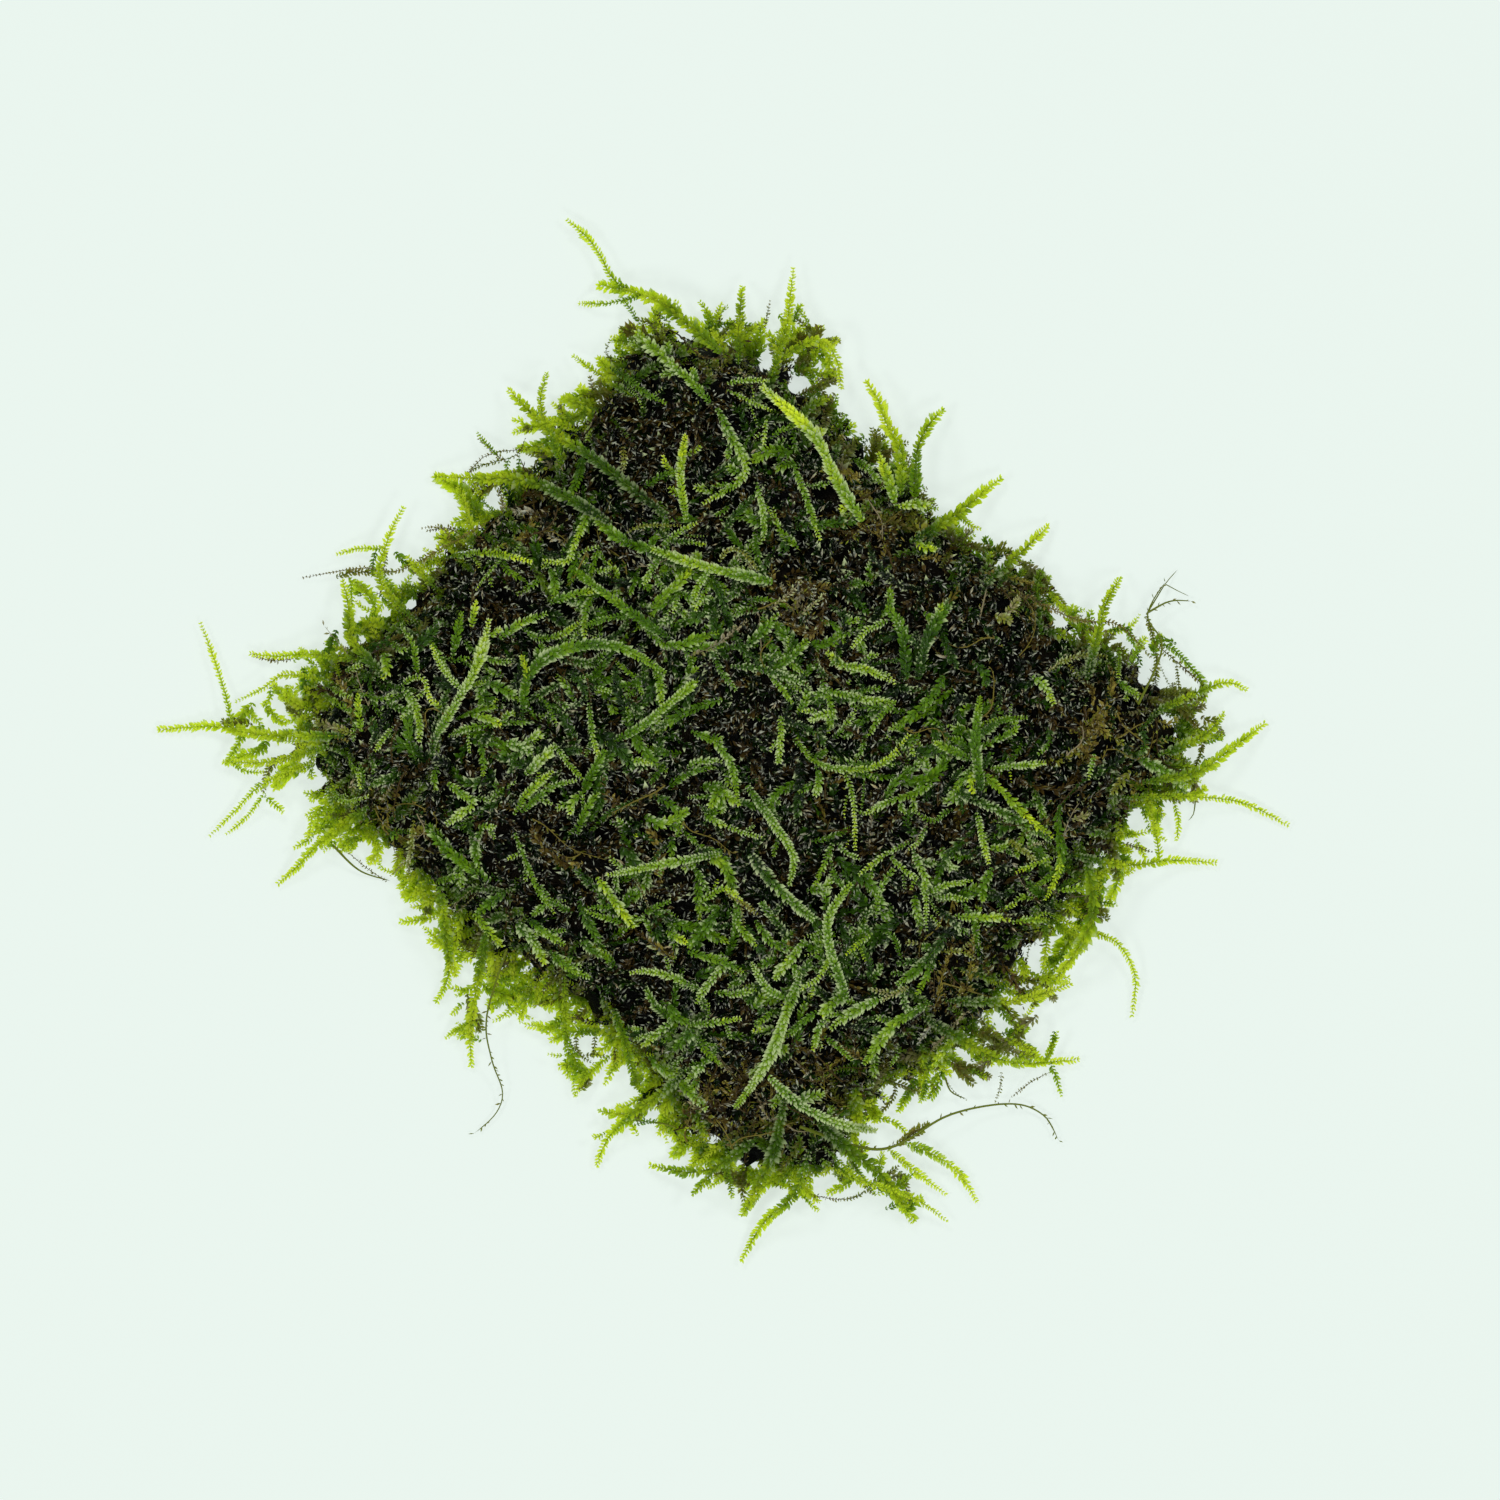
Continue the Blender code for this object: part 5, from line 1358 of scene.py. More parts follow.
# %% Small shoots at the rim
SMALL_RIM_SHOOTS = [
    ("bright", 1.5, (-18.4, 41), (-22, 40.4), (-26.5, 39.1)),
    ("bright", 1.3, (-18.5, 40.1), (-20.1, 41.4), (-21.6, 42.7)),
    ("bright", 2, (-31, 27.9), (-32.3, 30.5), (-34.2, 32.1), (-36.4, 33.4)),
    ("brown", 0.6, (-24.6, 36.8), (-28.4, 36.6), (-31, 35.6), (-33.1, 32.8)),
    ("brown", 0.6, (-27.7, 35.3), (-29.5, 36.6), (-31.2, 38.5)),
    ("fresh", 0.8, (-10.7, 52.7), (-11.7, 54.4), (-13, 56.1)),
    ("fresh", 0.6, (5.2, 52.3), (5.5, 54), (5.8, 55.6)),
    ("bright", 1, (-1.5, 52.6), (-2, 54.1), (-3, 55.5)),
    ("bright", 1, (-1.5, 52.6), (-1, 53.8), (-0.3, 55.2)),
    ("bright", 1.1, (30.6, 25.8), (29.3, 26.7), (27.7, 27.7)),
    ("brown", 0.8, (54.6, 12.3), (57.1, 10.2), (59.7, 8), (61.1, 6.5), (60.5, 5.1), (57.9, 5.5)),
    ("bright", 1, (57.1, -7.9), (57.7, -10.2), (57.5, -12.6)),
    ("bright", 1.3, (40.5, -23), (40.9, -25.9), (40.5, -28.6)),
    ("bright", 1, (37, -37.3), (38.2, -35.6), (39.2, -33.8)),
    ("bright", 0.6, (41.3, -42.2), (39, -43.4), (36.6, -45.3)),
    ("bright", 0.6, (35.2, -42.2), (35.1, -43.9), (34.5, -45.8)),
    ("fresh", 0.9, (16, -52.8), (17.3, -55.1), (19.2, -57.7)),
    ("brown", 0.6, (11, -57.7), (15, -58.4), (17.9, -57.4)),
    ("bright", 0.9, (10.2, -58), (11, -58.9), (11.9, -59.7)),
    ("bright", 1, (19.2, -48), (21.7, -48.6), (23.4, -50.3)),
    ("bright", 1.5, (16.6, -43.2), (16.9, -47.2), (16.6, -51.6)),
    ("fresh", 1, (24, -43.4), (23.1, -45.2), (22.1, -47)),
    ("fresh", 0.9, (25.7, -43.2), (25.5, -44.5), (25, -45.8)),
    ("fresh", 1, (30.9, -41.8), (32, -42.2), (33.1, -42.8)),
    ("brown", 0.4, (28.2, -43.2), (29.2, -44.7), (30.7, -45.7)),
    ("brown", 0.5, (-47.8, 11.7), (-49.3, 11.8), (-50.7, 12.2)),
    ("brown", 0.6, (-54.6, 10.3), (-57.3, 10), (-59.9, 10.8)),
    ("bright", 1, (-56.5, 2.4), (-57.4, 3.6), (-58.3, 4.6)),
    ("bright", 1, (-61.6, -0.5), (-62.4, -1.8), (-63.2, -2.9)),
    ("bright", 1.8, (-53.2, -3.4), (-55.4, -4.2), (-56.9, -6)),
    ("bright", 0.9, (-58.3, -6.7), (-60.5, -9.7), (-63.1, -11.9)),
    ("bright", 1, (-58.3, -7.1), (-57.1, -8.1), (-56.1, -9.1)),
    ("bright", 1, (-52.1, -12.2), (-53.2, -13), (-54.4, -13.6)),
    ("bright", 1.1, (-51.1, -7.5), (-52.1, -7), (-53.1, -6.7)),
    ("brown", 0.6, (-42.8, -18), (-45.2, -16.4), (-48.1, -14)),
    ("bright", 1.3, (-36.7, -22.5), (-38.5, -22.9), (-41, -23.1)),
    ("bright", 1, (-35.7, -25.9), (-36.8, -24.9), (-38.1, -23.9)),
    ("bright", 1, (-32, -31.6), (-33.3, -31.8), (-34.7, -31.5)),
    ("bright", 0.9, (-31, -35.7), (-33, -36.8), (-34.8, -37.3)),
    ("bright", 0.9, (-33, -33.4), (-33.8, -34), (-34.5, -34.8)),
    ("bright", 1.1, (-20.7, -35.1), (-22.7, -37.1), (-23.6, -36.1)),
    ("bright", 0.8, (-20.1, -40), (-21.1, -40.1), (-22.2, -39.9)),
    ("bright", 1, (-14.2, -39.9), (-16, -41.5), (-18.9, -45)),
    ("bright", 0.9, (-13.6, -41.1), (-14.4, -42.4), (-15.1, -43.6)),
    ("bright", 0.9, (-15.1, -49.9), (-15.7, -50.3), (-16.5, -50.4)),
    ("brown", 0.8, (-33.5, 26.2), (-35.3, 26.9), (-37.6, 26.5)),
    ("fresh", 1.4, (9.3, 46.1), (10, 49), (9.3, 51.7)),
    ("bright", 1.3, (11.2, 46.8), (11.5, 49.5), (10.5, 51.7)),
    ("bright", 1.2, (11.7, 50.2), (13.2, 49), (13.4, 46.8), (12.7, 44.9)),
    ("fresh", 1, (-2.4, 52.2), (0.6, 52.8), (4.7, 52.4)),
    ("bright", 0.9, (-1.4, 50.5), (1, 50.5), (3, 51.7)),
    ("olive", 0.9, (11.7, 45.6), (13.2, 43), (14.4, 40.3)),
    ("bright", 0.7, (-13.1, 47.6), (-13.3, 49.3), (-13.4, 50.5)),
    ("brown", 0.6, (-14.3, 48.1), (-15, 49.3), (-14.5, 50.7)),
    ("bright", 1.3, (-36.4, 19.1), (-38.3, 21.1), (-40, 23)),
    ("bright", 1.3, (-43.7, 18.4), (-42.2, 16.9), (-41.3, 14.3)),
    ("bright", 1.2, (-43, 19.9), (-41, 18.4), (-38.8, 18.4)),
    ("gold", 1, (-40.5, 15.2), (-38.1, 16.5), (-35.2, 17.4)),
    ("gold", 0.9, (-43.2, 11.8), (-40.8, 13.3), (-38.8, 14)),
    ("bright", 1.5, (-51, -8.5), (-51.7, -10.2), (-51.5, -12.1)),
    ("bright", 1.4, (-49.1, -8.9), (-50, -10.9), (-49.8, -12.8)),
    ("bright", 1.2, (-45.9, -12.6), (-47.6, -12.8), (-48.6, -14)),
    ("lemon", 1.6, (-52.9, 3.9), (-55.1, 5.1), (-56.8, 6.4)),
    ("bright", 1.2, (-52.9, 3.2), (-52.9, 5.6), (-53.9, 8.5)),
    ("bright", 0.8, (-40.3, -18.2), (-41.8, -17), (-43.7, -16.2), (-43.7, -14.8)),
    ("bright", 1, (-36.7, -17.5), (-38.4, -18.4), (-39.3, -20.1)),
    ("fresh", 1.5, (-43.2, 14.4), (-45.2, 14.1), (-47.4, 14.1)),
    ("lemon", 0.9, (-44.7, 16.1), (-45.9, 16.8), (-46.6, 17.5)),
    ("bright", 1, (41.1, 19.2), (43, 16.8), (46.2, 14.1)),
    ("bright", 0.8, (48.6, 13.8), (51.3, 14.1), (52.7, 15.8)),
    ("olive", 1.2, (30.4, 24.8), (33.8, 24.3), (36.7, 23.6)),
    ("olive", 1.4, (37.4, 22.6), (39.6, 21.4), (41.3, 19.5)),
    ("olive", 1.3, (37.9, 20.5), (39.1, 19), (40.6, 18.5)),
    ("hair", 0.3, (53.6, 15.9), (54.9, 18), (56.1, 19.9), (57.6, 21.6)),
    ("hair", 0.2, (56.1, 19.7), (57.6, 18.9), (59.1, 18.2)),
    ("olive", 0.4, (55.3, 9.6), (56.1, 7.7), (57, 6.2)),
    ("olive", 0.9, (55.3, 6), (57.6, 5.8), (58.7, 3.9), (60.1, 2)),
    ("olive", 0.6, (61.2, 0.1), (60.6, -1.4), (59.5, -3.7)),
    ("lemon", 0.9, (54.9, -8.3), (55.7, -9.6)),
    ("fresh", 1, (53, -8.1), (53.6, -10.2)),
    ("olive", 0.8, (50.6, -13.1), (52.3, -13.6), (54.2, -14.2)),
    ("hair", 0.3, (59.8, -7.8), (59.6, -9.5), (58.9, -10.3)),
    ("bright", 1.4, (50.1, -15.8), (50.1, -17.7), (49.4, -19.4), (48.7, -20.9)),
    ("fresh", 2, (48.2, -14.8), (47.7, -17.2), (47.2, -20.1), (45.7, -22.1), (44.5, -24.5), (42.8, -26.9),
     (40.9, -28.9)),
    ("olive", 1, (47.2, -21.1), (48.4, -21.8)),
    ("brown", 0.5, (38.7, -24), (38.7, -26.2), (38.2, -28.9)),
    ("brown", 0.5, (35.1, -38.1), (37.5, -38.6), (39.9, -40.1)),
    ("bright", 1.8, (-30.6, -31.2), (-27.9, -32.4), (-25.5, -33.6)),
    ("bright", 1.6, (-26.7, -31.5), (-24.3, -32.4), (-21.9, -34.1)),
    ("olive", 1.1, (29.2, -40.8), (31.2, -41.7), (33.4, -42.5)),
    ("olive", 0.6, (26.1, -43.4), (27.1, -44.6)),
    ("olive", 0.5, (22, -43.7), (21.2, -45.4)),
    ("olive", 0.7, (-20.3, -36.1), (-19.7, -38.2), (-18.4, -39.9), (-16.7, -41.1)),
    ("lemon", 1.1, (-38.8, -18.6), (-37.8, -20.7)),
    ("brown", 0.5, (-30.6, -30), (-27.7, -30), (-23.7, -30.2)),
    ("hair", 0.4, (-6.1, -49.2), (-8.2, -48.6), (-10.1, -48.7)),
    ("bright", 1.1, (0.2, -55.1), (-0.8, -56), (-1.9, -56.8)),
    ("bright", 1.3, (4.2, -54.7), (2.3, -54.9), (0.2, -55.3)),
    ("bright", 1.5, (-1, -51.1), (-0.6, -53.2), (0.2, -55.3)),
    ("fresh", 1.8, (-2.3, -50.7), (-2.7, -52), (-1.9, -53.7)),
    ("brown", 0.5, (6.1, -56), (7.4, -57)),
    ("bright", 1, (11, -54.7), (10.8, -57.9)),
    ("bright", 0.9, (12.8, -54.3), (14.6, -54.8), (16.5, -55.7)),
    ("bright", 1.2, (16.5, -55.7), (14.9, -56.8), (13.3, -57.5)),
    ("bright", 1.8, (30.1, -38.2), (32.3, -40.1), (33.9, -41)),
    ("olive", 1.7, (31.4, -36.9), (34.1, -37.6), (36, -39.8)),
    ("olive", 1, (53.6, 15.7), (54.5, 13), (54.9, 10.2), (54.7, 6.9)),
    ("fresh", 1.1, (54.9, 12.3), (57, 11.5), (59.1, 9.4), (60.8, 7.3), (60.8, 5), (58.7, 5)),
    ("olive", 0.7, (57.4, 9.8), (57.6, 7.8), (57.8, 6)),
    ("olive", 1.4, (53.6, 4.8), (56, 4.7), (58.2, 3.9), (59.9, 1.8)),
    ("olive", 1, (60.7, 0.7), (60.6, -1), (60.3, -2.4), (59.1, -5)),
    ("olive", 1.3, (40.1, 21.2), (41.4, 19.1), (43.3, 16.7), (46.5, 14), (49.4, 13.6)),
    ("fresh", 1, (49, 13.8), (51.1, 14.2), (51.9, 12.3), (53.2, 11.9)),
    ("gold", 0.9, (50.2, 12.3), (50.2, 10.4), (50.2, 8.6)),
    ("brown", 0.7, (-25.2, 38.3), (-26.2, 36.2), (-29, 35.3), (-31.7, 34.5), (-33, 33.1)),
    ("fresh", 0.7, (-28.6, 35.9), (-30.2, 37.6), (-31.2, 38.9)),
    ("brown", 1, (-24.1, 34.5), (-27.1, 33.5), (-30.2, 32.9), (-32.4, 32.2)),
    ("bright", 1.2, (-25.6, 33.9), (-28.4, 33.7), (-31.6, 33.1)),
    ("brown", 1.2, (-23.3, 36.4), (-24.4, 34.2), (-26.2, 33.9)),
    ("fresh", 1.6, (-21.5, 38.4), (-23.4, 37.4), (-25.9, 37)),
    ("fresh", 0.7, (-27.3, 35.8), (-27.7, 33.9)),
    ("fresh", 0.7, (-26, 36.1), (-26.1, 33.9)),
    ("olive", 1, (-49.2, 20.6), (-47.2, 21.3), (-44.8, 21.2), (-42.4, 21.2)),
    ("bright", 1, (-47.5, 20.6), (-47.2, 17.9), (-47.4, 15.8), (-47.6, 13.3)),
    ("bright", 1.3, (-47.6, 20.4), (-45, 18.9), (-44.2, 17.3), (-44.6, 15.2)),
    ("fresh", 1.6, (-47.1, 14.6), (-45, 14.6), (-42.9, 14.9), (-40.8, 15.1)),
    ("bright", 1.2, (-43.2, 20.8), (-41.4, 18.5), (-41, 16.2), (-42, 14.8)),
    ("olive", 1, (-44.1, 18.6), (-42.5, 18.5), (-39.5, 18.5)),
    ("fresh", 1.2, (-41.8, 23.8), (-40.2, 22.3), (-37.8, 20.8)),
    ("fresh", 1, (-44.1, 24.2), (-44.6, 22.3), (-44.6, 20.9)),
    ("olive", 0.7, (-42.9, 24.2), (-43, 22.4), (-43.5, 21.1)),
    ("bright", 1.1, (-47.4, 13.9), (-45.2, 13.6), (-43.4, 13.4)),
    ("brown", 1.2, (-47.9, 11.4), (-45, 11.8), (-41.8, 13.3)),
    ("bright", 1.1, (-60.9, 0.9), (-61.5, -0.2), (-62.3, -1.6)),
    ("bright", 1.5, (-57.8, 0.2), (-58.9, -1.4), (-61.2, -2), (-62.9, -2.9)),
    ("bright", 0.9, (-62.5, -2.7), (-61.2, -3.9), (-59.3, -4.1), (-58.2, -4.1)),
    ("olive", 1.1, (-54.6, -2), (-56.8, -2.6), (-57.9, -4.2), (-58.5, -6.4)),
    ("bright", 1.3, (-55.5, 7), (-55.3, 5.4), (-54.6, 3.2)),
    ("bright", 1.1, (-57.5, 6.7), (-57.6, 5.2), (-58.4, 4.5)),
    ("bright", 1.3, (-58.4, 4.5), (-57.1, 2.9), (-55.8, 2.2)),
    ("fresh", 1.5, (-53.4, 9.1), (-53.2, 7.4), (-52.9, 5.3)),
    ("bright", 1.6, (-19.3, -39.3), (-18.6, -41.5), (-18, -43.6)),
    ("bright", 1.3, (-17.3, -41.8), (-17.9, -42.8), (-18.5, -44.2)),
    ("bright", 1.2, (-15.4, -40.9), (-16.6, -41.8), (-17.9, -42.9)),
    ("olive", 0.8, (-18.7, -37.3), (-18.8, -38.8), (-18.1, -40.1)),
    ("olive", 0.7, (-16.4, -37.3), (-16.4, -38.8), (-16.7, -40.1)),
    ("fresh", 1, (-18.6, -37.1), (-16.8, -37.1), (-14.8, -37.2)),
    ("olive", 0.8, (-17.9, -40), (-16.4, -40), (-15, -40.2)),
    ("brown", 0.9, (-13.9, -39), (-13.8, -40.4), (-13.5, -41.9)),
    ("bright", 1.8, (-9, -46.4), (-12, -48.2), (-14.5, -49.9)),
    ("fresh", 0.7, (-11.4, -48.9), (-9.1, -48.4), (-6.2, -49.3)),
    ("olive", 1.2, (21.6, -51.6), (23.6, -50.3), (25.8, -48.8)),
    ("olive", 0.9, (15.9, -52.2), (17, -55), (18.8, -57.6)),
    ("olive", 0.7, (14.7, -58.3), (16.5, -58.2), (18.1, -57.2)),
    ("bright", 1.2, (14.5, -54.3), (16.3, -55.4), (17.6, -56.6)),
    ("olive", 0.9, (33.3, -38.9), (36, -38.9), (38.3, -38.9), (39.9, -40)),
    ("bright", 1.3, (35.6, -38), (37.6, -38.8), (39.5, -39.9)),
    ("bright", 1.2, (37, -40.5), (38.8, -39.9), (40.4, -40.6)),
    ("fresh", 1.1, (41.9, -37), (41.5, -39.3), (41, -40.6)),
    ("olive", 0.8, (21.8, -43.6), (21.4, -45.6), (19.6, -47.4)),
    ("fresh", 1.2, (24.5, -42.6), (23.6, -44.6), (22.2, -47)),
    ("bright", 1, (25.6, -42.3), (25.4, -44), (24.9, -45.9)),
    ("olive", 1.5, (29.2, -41.5), (31.6, -41.9), (33.6, -42.8)),
    ("hair", 0.4, (28.1, -42.9), (28.8, -44.7), (30.8, -45.6)),
    ("hair", 0.5, (-49.5, -13.5), (-46.3, -16.6), (-42.4, -17.9)),
]

# %% Small shoots on top
SMALL_TOP_SHOOTS = [
    ("green", 0.7, 1.8, (-1.7, 42.7), (-4.4, 45.6), (-7.7, 48.5), (-10.9, 51.4)),
    ("green", 0.7, 1.3, (-37.3, 12.6), (-36.1, 10.4), (-34.9, 8.3)),
    ("green", 0.7, 0.9, (-41.9, 1.7), (-42.9, 0.3), (-44.1, -1.3)),
    ("green", 0.7, 1.3, (-22, 17.3), (-19.1, 18.4), (-16.5, 18.9)),
    ("green", 0.7, 1.5, (-28.4, 12.8), (-25.9, 14.7), (-22.6, 15.9)),
    ("green", 0.7, 1, (-1.3, 20.8), (-2.5, 18.7), (-3.6, 16.6)),
    ("green", 0.7, 1.3, (-4.2, 1.1), (-0.9, -0.5), (1, -3.4), (1.7, -7.6)),
    ("green", 0.7, 0.9, (8.8, 0.1), (11.4, -2.7), (14.6, -3.6), (18.5, -3.6), (22.1, -1.8)),
    ("fresh", 0.7, 0.8, (15.2, -4.1), (16.4, -7.6), (16.6, -13.8)),
    ("fresh", 0.7, 1.9, (-16.1, -17.4), (-13.8, -20.6), (-11.6, -23.5)),
    ("green", 0.7, 0.9, (-21.5, -0.5), (-19.7, -3), (-17.8, -5.1)),
    ("green", 0.7, 1, (-17.1, 4.7), (-16.5, -0.1), (-15.5, -2.8)),
    ("green", 0.7, 1.1, (-26.5, -11.8), (-25.1, -15.4), (-23.6, -18.9), (-21.6, -21.8)),
    ("green", 0.7, 1.5, (5.8, 8.6), (8.1, 10.2), (10.4, 12.4)),
    ("deep", 0.7, 1.1, (0.8, 9.3), (5, 8.9), (10.4, 7)),
    ("green", 0.7, 1.1, (12.3, 6.6), (16.9, 5.3), (21.5, 4.7)),
    ("tan", 0.7, 0.8, (5.8, 16.4), (7.6, 18), (9.8, 19.9)),
    ("tan", 0.7, 0.8, (9.5, 15.7), (11.2, 17), (12.7, 18.3)),
    ("green", 0.7, 1.4, (-0.9, 42), (0.8, 38.5), (2.8, 34.9), (1.7, 32.6), (-2.5, 30)),
    ("fresh", 0.7, 0.8, (0.4, 45.1), (2.7, 45.5), (5.6, 45.5)),
    ("fresh", 0.7, 0.8, (0.4, 44.3), (3.3, 42.9), (5.8, 41.7)),
    ("green", 0.7, 1.1, (8.8, 34.9), (10.4, 30.6), (12.1, 25.5)),
    ("green", 0.7, 1.1, (4.1, 32.6), (5, 28.7), (5, 25.5)),
    ("fresh", 0.7, 1.1, (-17, 29.2), (-18.9, 24.8), (-19.8, 22.6), (-22.7, 22.6)),
    ("fresh", 0.7, 1.1, (-34.8, 23.2), (-29.7, 23.7), (-24.6, 22.6)),
    ("brown", 0.7, 0.6, (-11.6, -17), (-10.4, -19.1), (-9.5, -21.5)),
    ("green", 0.7, 1.8, (-9.5, -40.1), (-5.1, -43.9), (-2.4, -46.6)),
    ("green", 0.7, 1.5, (25.7, -33.4), (21.5, -36.1), (17.9, -40.9)),
    ("deep", 0.7, 1.5, (28.2, -24.6), (25.4, -28.2), (22.1, -30.9)),
    ("deep", 0.7, 1.4, (28.3, -6.1), (35.1, -9.1), (41.4, -12.7)),
    ("deep", 0.7, 1.5, (3.3, -14.4), (7.1, -19.1), (11.2, -22.6)),
    ("green", 0.3, 0.7, (-24, 5.9), (-22.3, 4.4), (-21.2, 1.9)),
    ("deep", 0.3, 1.3, (-19.5, 8.7), (-18.1, 7), (-17.2, 5.3)),
    ("green", 0.6, 1.3, (-9, 10.1), (-8.2, 7.6), (-7.9, 4.7)),
    ("green", 0.3, 0.9, (-11, 7.8), (-10.4, 5.9)),
    ("deep", 0.3, 1.2, (-12.7, 5.3), (-10.4, 3.6)),
    ("green", 0.4, 1.6, (-17.8, -6.6), (-16.7, -4.4), (-15.2, -1.5)),
    ("green", 0.9, 1.2, (-26.6, -9.5), (-25.2, -7.2), (-23.5, -5.5), (-21.8, -4.1)),
    ("green", 0.7, 1.2, (-25.7, -9.2), (-23.5, -7.2), (-21.2, -5.8), (-18.9, -5.2)),
    ("green", 1, 1.8, (-27.7, -0.4), (-26, -0.7), (-24.3, -1.8)),
    ("green", 1, 1.6, (-25.2, -4.4), (-23.5, -2.9), (-21.5, -1)),
    ("green", 1, 0.7, (-32.5, 1.3), (-32.2, -1.5)),
    ("green", 0.3, 1.1, (-31.1, 0.7), (-30.5, -2.1), (-30.5, -4.4)),
    ("green", 1, 1.2, (-4.7, -3.5), (-2.8, -2.7), (-0.5, -2.8)),
    ("fresh", 0.9, 1.1, (-11.8, -2.4), (-9.3, -2.9)),
    ("green", 1, 1.2, (7.2, 3), (7.2, 0.2), (6.9, -2.7)),
    ("green", 0.6, 1.5, (-2.2, -5.8), (0.4, -7.2), (1.8, -8)),
    ("fresh", 0.5, 1, (-3.3, -20.8), (-1.6, -19.7), (0.1, -18.8), (2.1, -20.2)),
    ("green", 0.8, 1, (-31.1, -10.9), (-29.1, -11)),
    ("green", 0.6, 1.2, (-18.6, -12), (-17.8, -9.5), (-16.1, -6.9)),
    ("green", 1, 0.8, (-16.4, 6.7), (-14.4, 6.1)),
    ("green", 0.4, 1.1, (-14.5, 47.3), (-12.6, 46.1), (-10.6, 44.4), (-8.7, 43.2), (-7.5, 42.7)),
    ("green", 1, 0.7, (-12.1, 44.7), (-11.1, 43.7), (-10.4, 42.2)),
    ("green", 1, 1.2, (-17.2, 42.2), (-16.8, 40.5), (-17.2, 38.1)),
    ("green", 1, 0.8, (5.5, 41), (5.2, 39.1), (5, 37.1)),
    ("green", 0.4, 0.9, (5.9, 38.1), (7.4, 39.3), (9.3, 40)),
    ("green", 0.3, 1, (-10.1, 32), (-8.2, 33.2), (-6.2, 34.2)),
    ("olive", 0.6, 0.9, (-12.8, 37.1), (-12.6, 34.5)),
    ("green", 0.5, 1.3, (-22.3, 22), (-21.5, 20.6), (-21.5, 18.2)),
    ("green", 1, 1.3, (-16.5, 18.4), (-17.6, 16), (-17.6, 13.1)),
    ("green", 0.8, 0.9, (-25.2, 13.8), (-23.5, 12.8), (-21.3, 13.1), (-19.4, 14), (-17.9, 15.2)),
    ("green", 0.4, 1.8, (-8.9, 24), (-11.4, 24.7), (-13.6, 25.7), (-15.7, 27.6), (-17.2, 29.6)),
    ("green", 0.7, 1.2, (-8, 23), (-9.2, 21.6), (-10, 19.9)),
    ("olive", 0.4, 0.7, (-12.3, 26.2), (-10.2, 27.1), (-5.6, 27.1)),
    ("green", 0.3, 1.2, (-34.3, 10.6), (-33.8, 13.5), (-33.2, 16)),
    ("fresh", 0.5, 1.1, (-32, 14.3), (-31.4, 17.4)),
    ("green", 0.5, 0.9, (-34.7, 9.9), (-32.5, 10.4)),
    ("green", 0.8, 0.8, (-28.1, 23), (-30.1, 20.8), (-31.3, 19.1)),
    ("fresh", 0.5, 1.3, (-25.8, 5.1), (-24.9, 7.5), (-25.5, 10.4)),
    ("green", 0.4, 1.4, (-30.1, 7.2), (-28.1, 6.5), (-26.2, 5.1)),
    ("green", 0.8, 0.9, (-16.5, 21.3), (-14.5, 21.6)),
    ("green", 1, 0.7, (-18.4, 23.7), (-16, 24.5)),
    ("tan", 0, 0.4, (-10.6, 31), (-10.2, 29.6), (-10.3, 28.1)),
    ("olive", 0.3, 1.4, (-47.1, 0.8), (-49.5, 1.6), (-51.6, 2.2)),
    ("green", 0.5, 1.3, (-53.4, 2.2), (-51.5, 1), (-49.8, -0.4)),
    ("fresh", 0.9, 0.9, (-40.8, 6.8), (-39.6, 7.8), (-38, 7.7), (-37.6, 6.1), (-37, 4.7)),
    ("green", 1, 1.2, (-40.8, 6.4), (-39.3, 4.7), (-38.6, 2.2), (-38.6, 0)),
    ("fresh", 0.4, 1.2, (-45.9, 1), (-46.3, 3.4), (-46.4, 5.6)),
    ("fresh", 0.4, 1.3, (-43.2, 11), (-42.6, 9.3), (-43.2, 8.1)),
    ("green", 0.9, 1.1, (-51.5, 8.1), (-49.5, 6.4), (-47.4, 5.4)),
    ("fresh", 0.5, 1.3, (-32.5, 3.2), (-30.6, 3), (-28.5, 2)),
    ("green", 0.8, 1.3, (-35, -5.5), (-33.3, -6.8), (-31.8, -8.1), (-33.3, -9.4), (-35, -10.6)),
    ("tan", 0, 0.6, (-43.5, -8), (-42.7, -6.8), (-41.8, -5.5)),
    ("olive", 0.6, 1, (-39.3, -10.2), (-39.7, -13.6), (-40.1, -17)),
    ("fresh", 0.8, 0.9, (-46.4, -3.6), (-46.1, -6)),
    ("green", 1, 1, (-49.8, -6), (-48.6, -7.7), (-46.6, -7.7), (-45.2, -7.2)),
    ("green", 0.5, 1.3, (2.6, 11.8), (4.6, 13.5), (6.7, 15.8)),
    ("green", 1, 1, (20.7, 15.1), (18.2, 13.9), (16.3, 11.8)),
    ("green", 0.9, 1.1, (14.8, 9.5), (18, 8.9), (20.9, 7.5)),
    ("green", 0.8, 0.8, (-7.8, 24.5), (-5.8, 26.2), (-3.6, 27.4)),
    ("fresh", 0.5, 0.8, (-4.6, 25), (-2.4, 24.7)),
    ("olive", 0.8, 0.9, (-0.6, 22.5), (0.6, 24.1), (2.5, 23.7), (4.2, 21.6)),
    ("fresh", 0.6, 1.7, (21.9, 29.6), (20.9, 32.7), (19.7, 36.1)),
    ("green", 0.7, 1.2, (16.3, 35.6), (18.5, 34.2), (20.1, 32)),
    ("fresh", 0.8, 1.2, (22.1, 29.6), (24.1, 29.8), (26, 29.9)),
    ("fresh", 0.5, 1.4, (24.6, 26.4), (24.8, 24.5), (26.7, 24.2)),
    ("green", 1, 0.9, (-5.8, 18.4), (-6.4, 16.2)),
    ("green", 0.4, 1.2, (-10.7, 15.7), (-9.2, 13.3), (-6.8, 11.8), (-3.4, 12.8), (-0.9, 13.5)),
